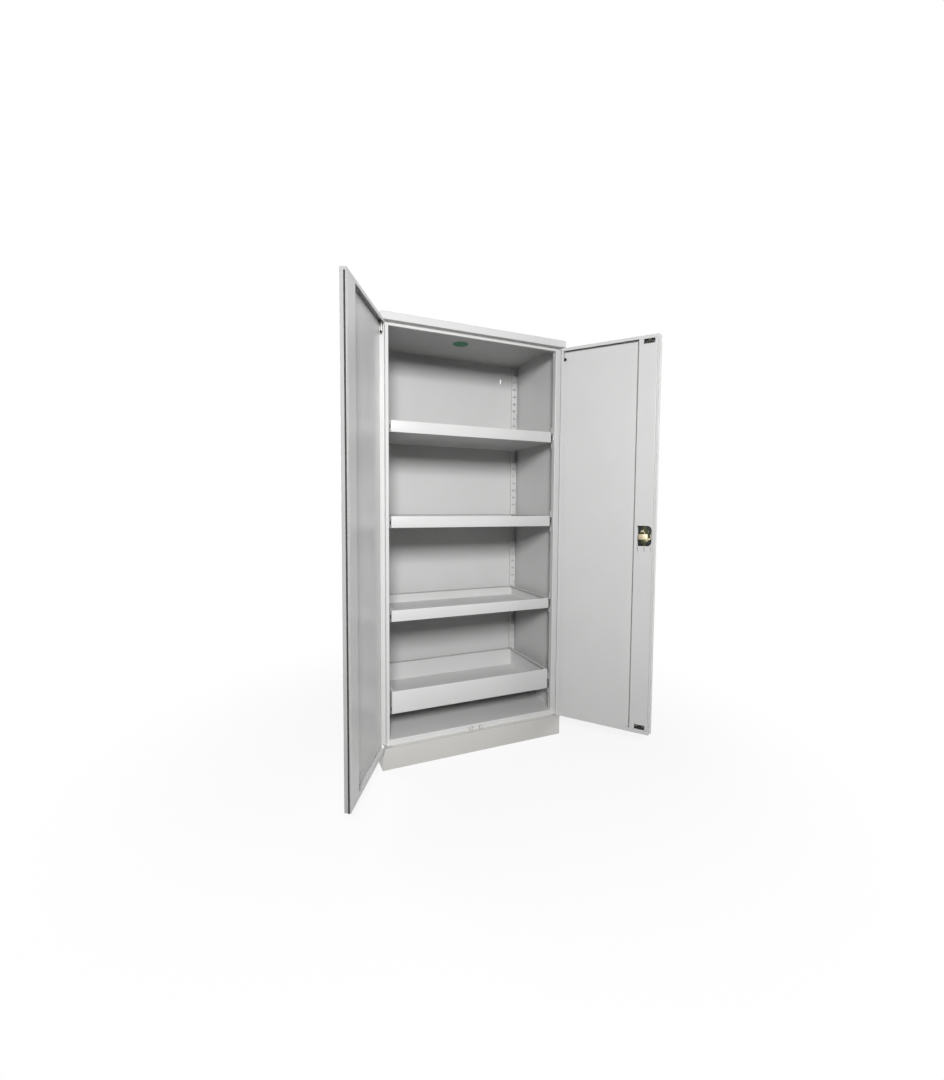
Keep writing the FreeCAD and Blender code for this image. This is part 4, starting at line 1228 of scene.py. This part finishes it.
class CABINET_OT_pin_fittings(bpy.types.Operator):
    """Wind the springs round the upper door pins and mould their pulls"""

    bl_idname = "cabinet.pin_fittings"
    bl_label = "Pin springs and pulls"

    def execute(self, context):
        for name, door in (("right", RIGHT_DOOR), ("left", LEFT_DOOR)):
            body = name + "_door"
            spring = self.spring(name, door)
            dress(spring, name + "_pin_spring", body, "zinc_plate", door=door)
            pull = self.pull(name, door)
            dress(pull, name + "_pin_pull", body, "black_plastic", door=door)
        return {"FINISHED"}

    def spring(self, name, door):
        """A coil between the bracket's ears."""
        ear = 0.0022
        turns = 9
        pin_radius = 0.0035
        gap = 0.0002
        heights = [point.z for point in points_on_door(name + "_hinge_bracket", door)]
        low, high = min(heights) + ear, max(heights) - ear
        wire = sizes().spring_wire / 2
        rest()
        bpy.ops.mesh.primitive_circle_add(
            vertices=8,
            radius=wire,
            location=(pin_radius + wire + gap, 0, low + wire),
            rotation=(math.pi / 2, 0, 0),
        )
        coil = bpy.context.object
        settle()
        modify(
            coil,
            "SCREW",
            axis="Z",
            angle=math.tau * turns,
            steps=20 * turns,
            render_steps=20 * turns,
            screw_offset=high - low - 2 * wire,
        )
        return place_by(coil, Matrix.Translation((*PIN_PLACE, 0.0)))

    def pull(self, name, door):
        """A moulded cap on the pin's bent end."""
        points = points_on_door(name + "_hinge_pin", door)
        end = max(point.x for point in points) + 0.0012
        level = min(point.z for point in points) + 0.0035
        w = PIN_PLACE[1]
        pull = rod((end - 0.0097, w, level), (end, w, level), 0.0048, 28)
        round_off(pull, level_with(0, end, 1e-5), 0.0022, 4)
        return soften(pull, 0.0004, 2, 50.0)


class CABINET_OT_rail_rivets(bpy.types.Operator):
    """Set the rivets that hold the outer slide members to the rails"""

    bl_idname = "cabinet.rail_rivets"
    bl_label = "Rail rivets"

    def execute(self, context):
        rail = 0.0015
        from_front = 0.045
        spacing = 0.150
        heads = []
        for number in TRAYS:
            low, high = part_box("slide_outer_%d" % number)
            place = (high.x + rail, low.y + from_front, (low.z + high.z) / 2)
            heads += rows_of_heads(rivet_head, place, spacing, 1, 0.0030, 0.0014)
        dress(gather(heads), "rail_rivets", "carcass", "zinc_plate")
        return {"FINISHED"}


class CABINET_OT_stage(bpy.types.Operator):
    """Set the floor, the lamps, the plain background and the camera"""

    bl_idname = "cabinet.stage"
    bl_label = "Stage"

    def execute(self, context):
        set_floor()
        set_world()
        area_lamp("rear", (-2.9, 3.1, 2.2), (0.0, 0.2, 1.0), (2.0, 2.0), 150.0)
        area_lamp("key", (-1.15, -3.25, 2.15), (0.05, 0.0, 0.2), (0.7, 0.7), 146.0)
        area_lamp("fill", (4.6, -3.0, 1.6), (-0.3, -0.3, 0.9), (1.6, 2.0), 110.0)
        set_camera()
        bpy.context.scene.view_settings.view_transform = "Standard"
        return {"FINISHED"}


def set_floor():
    """A pale floor that is white from afar and keeps the cabinet's soft shadow near it."""
    rest()
    bpy.ops.mesh.primitive_plane_add(size=60.0, location=(0, 0, -0.0006))
    floor = bpy.context.object
    floor.name = "studio_floor"
    surface = Finish("studio_floor")
    lit = surface.node("Emission", None, {"Color": (1.0, 1.0, 1.0, 1.0), "Strength": 1.0})
    path = surface.tree.nodes.new("ShaderNodeLightPath")
    camera_ray, glossy_ray, glass_ray = (
        Signal(surface, path.outputs["Is %s Ray" % kind])
        for kind in ("Camera", "Glossy", "Transmission")
    )
    grain = surface.noise(0.8, 2.0).band(0.2, 0.8, 0.97, 1.0)
    dark, light = (0.05, 0.05, 0.05, 1.0), (0.66, 0.66, 0.66, 1.0)
    pale = surface.blend(camera_ray * grain, dark, light)
    surface.set(Base_Color=pale, Roughness=0.9, Specular_IOR_Level=0.0)
    seen = camera_ray + glossy_ray + glass_ray
    away = surface.node("VectorMath", {"operation": "LENGTH"}, {0: surface.place}, "Value")
    share = away.band(0.6, 1.9, 0.86, 1.0)
    shaded = Signal(surface, surface.shader.outputs[0])
    inputs = {0: seen.band(0.0, 1.0) * share, 1: shaded, 2: lit}
    mixed = surface.node("MixShader", None, inputs)
    output = surface.tree.nodes["Material Output"]
    surface.tree.links.new(mixed.socket, output.inputs["Surface"])
    floor.data.materials.append(surface.material)


def set_world():
    """White where it is seen, also in a reflection or through glass, and else a faint light."""
    world = bpy.data.worlds.new("studio")
    bpy.context.scene.world = world
    world.use_nodes = True
    tree = world.node_tree
    tree.nodes.clear()
    path = tree.nodes.new("ShaderNodeLightPath")
    seen = path.outputs["Is Camera Ray"]
    for kind in ("Is Glossy Ray", "Is Transmission Ray"):
        total = tree.nodes.new("ShaderNodeMath")
        total.operation = "ADD"
        total.use_clamp = True
        tree.links.new(seen, total.inputs[0])
        tree.links.new(path.outputs[kind], total.inputs[1])
        seen = total.outputs[0]
    mixed = tree.nodes.new("ShaderNodeMixShader")
    tree.links.new(seen, mixed.inputs[0])
    for place, strength in ((1, 0.04), (2, 1.0)):
        background = tree.nodes.new("ShaderNodeBackground")
        background.inputs["Color"].default_value = (1.0, 1.0, 1.0, 1.0)
        background.inputs["Strength"].default_value = strength
        tree.links.new(background.outputs[0], mixed.inputs[place])
    output = tree.nodes.new("ShaderNodeOutputWorld")
    tree.links.new(mixed.outputs[0], output.inputs["Surface"])


def area_lamp(name, place, target, size, power):
    rest()
    aim = (Vector(target) - Vector(place)).to_track_quat("-Z", "Y").to_euler()
    bpy.ops.object.light_add(type="AREA", location=place, rotation=aim)
    lamp = bpy.context.object
    lamp.name = name
    lamp.data.name = name
    lamp.data.shape = "RECTANGLE"
    lamp.data.size, lamp.data.size_y = size
    lamp.data.energy = power


def set_camera():
    """The photograph's viewpoint, solved from the cabinet's corners; lengths in its pixels."""
    width, height = 944.0, 1080.0
    focal = 474.0
    centre_x, centre_y = 474.5, 533.1
    sensor = 36.0
    yaw, pitch, roll = 0.404, math.radians(3.32), math.radians(0.38)
    forward = Vector(
        (math.sin(yaw) * math.cos(pitch), math.cos(yaw) * math.cos(pitch), -math.sin(pitch))
    )
    right = Vector((math.cos(yaw), -math.sin(yaw), 0.0))
    up = right.cross(forward)
    rolled_right = right * math.cos(roll) + up * math.sin(roll)
    rolled_up = up * math.cos(roll) - right * math.sin(roll)
    rest()
    bpy.ops.object.camera_add(location=(-0.8734, -2.2334, 1.1515))
    camera = bpy.context.object
    camera.name = "camera"
    frame_axes = Matrix((rolled_right, rolled_up, -forward)).transposed().to_4x4()
    camera.matrix_world = Matrix.Translation(camera.location) @ frame_axes
    camera.data.sensor_fit = "HORIZONTAL"
    camera.data.sensor_width = sensor
    camera.data.lens = focal / width * sensor
    camera.data.shift_x = -(centre_x - width / 2) / width
    camera.data.shift_y = -(height / 2 - centre_y) / width
    camera.data.clip_end = 100.0
    bpy.context.scene.camera = camera


# Panel and registration.


class CABINET_PT_panel(bpy.types.Panel):
    bl_idname = "CABINET_PT_panel"
    bl_label = "Safety Cabinet"
    bl_space_type = "VIEW_3D"
    bl_region_type = "UI"
    bl_category = "Cabinet"

    def draw(self, context):
        layout = self.layout
        for made in STEPS:
            layout.operator(made.bl_idname)
        for group in (context.scene.cabinet_sizes, context.scene.cabinet_colours):
            box = layout.box()
            for name in group.__annotations__:
                box.prop(group, name)


STEPS = (
    CABINET_OT_finishes,
    CABINET_OT_trays,
    CABINET_OT_tray_screws,
    CABINET_OT_slide_balls,
    CABINET_OT_catches,
    CABINET_OT_uprights,
    CABINET_OT_rails,
    CABINET_OT_door_seal,
    CABINET_OT_buffers,
    CABINET_OT_handle,
    CABINET_OT_handle_cup,
    CABINET_OT_lock_case,
    CABINET_OT_collar,
    CABINET_OT_guides,
    CABINET_OT_pin_fittings,
    CABINET_OT_rail_rivets,
    CABINET_OT_stage,
)
CLASSES = (CabinetColours, CabinetSizes) + STEPS + (CABINET_PT_panel,)


def register():
    for kind in CLASSES:
        bpy.utils.register_class(kind)
    bpy.types.Scene.cabinet_colours = bpy.props.PointerProperty(type=CabinetColours)
    bpy.types.Scene.cabinet_sizes = bpy.props.PointerProperty(type=CabinetSizes)


def unregister():
    del bpy.types.Scene.cabinet_sizes
    del bpy.types.Scene.cabinet_colours
    for kind in reversed(CLASSES):
        bpy.utils.unregister_class(kind)


def main():
    register()
    for step in STEPS:
        group, name = step.bl_idname.split(".")
        getattr(getattr(bpy.ops, group), name)()
    rest()


if __name__ == "__main__":
    main()
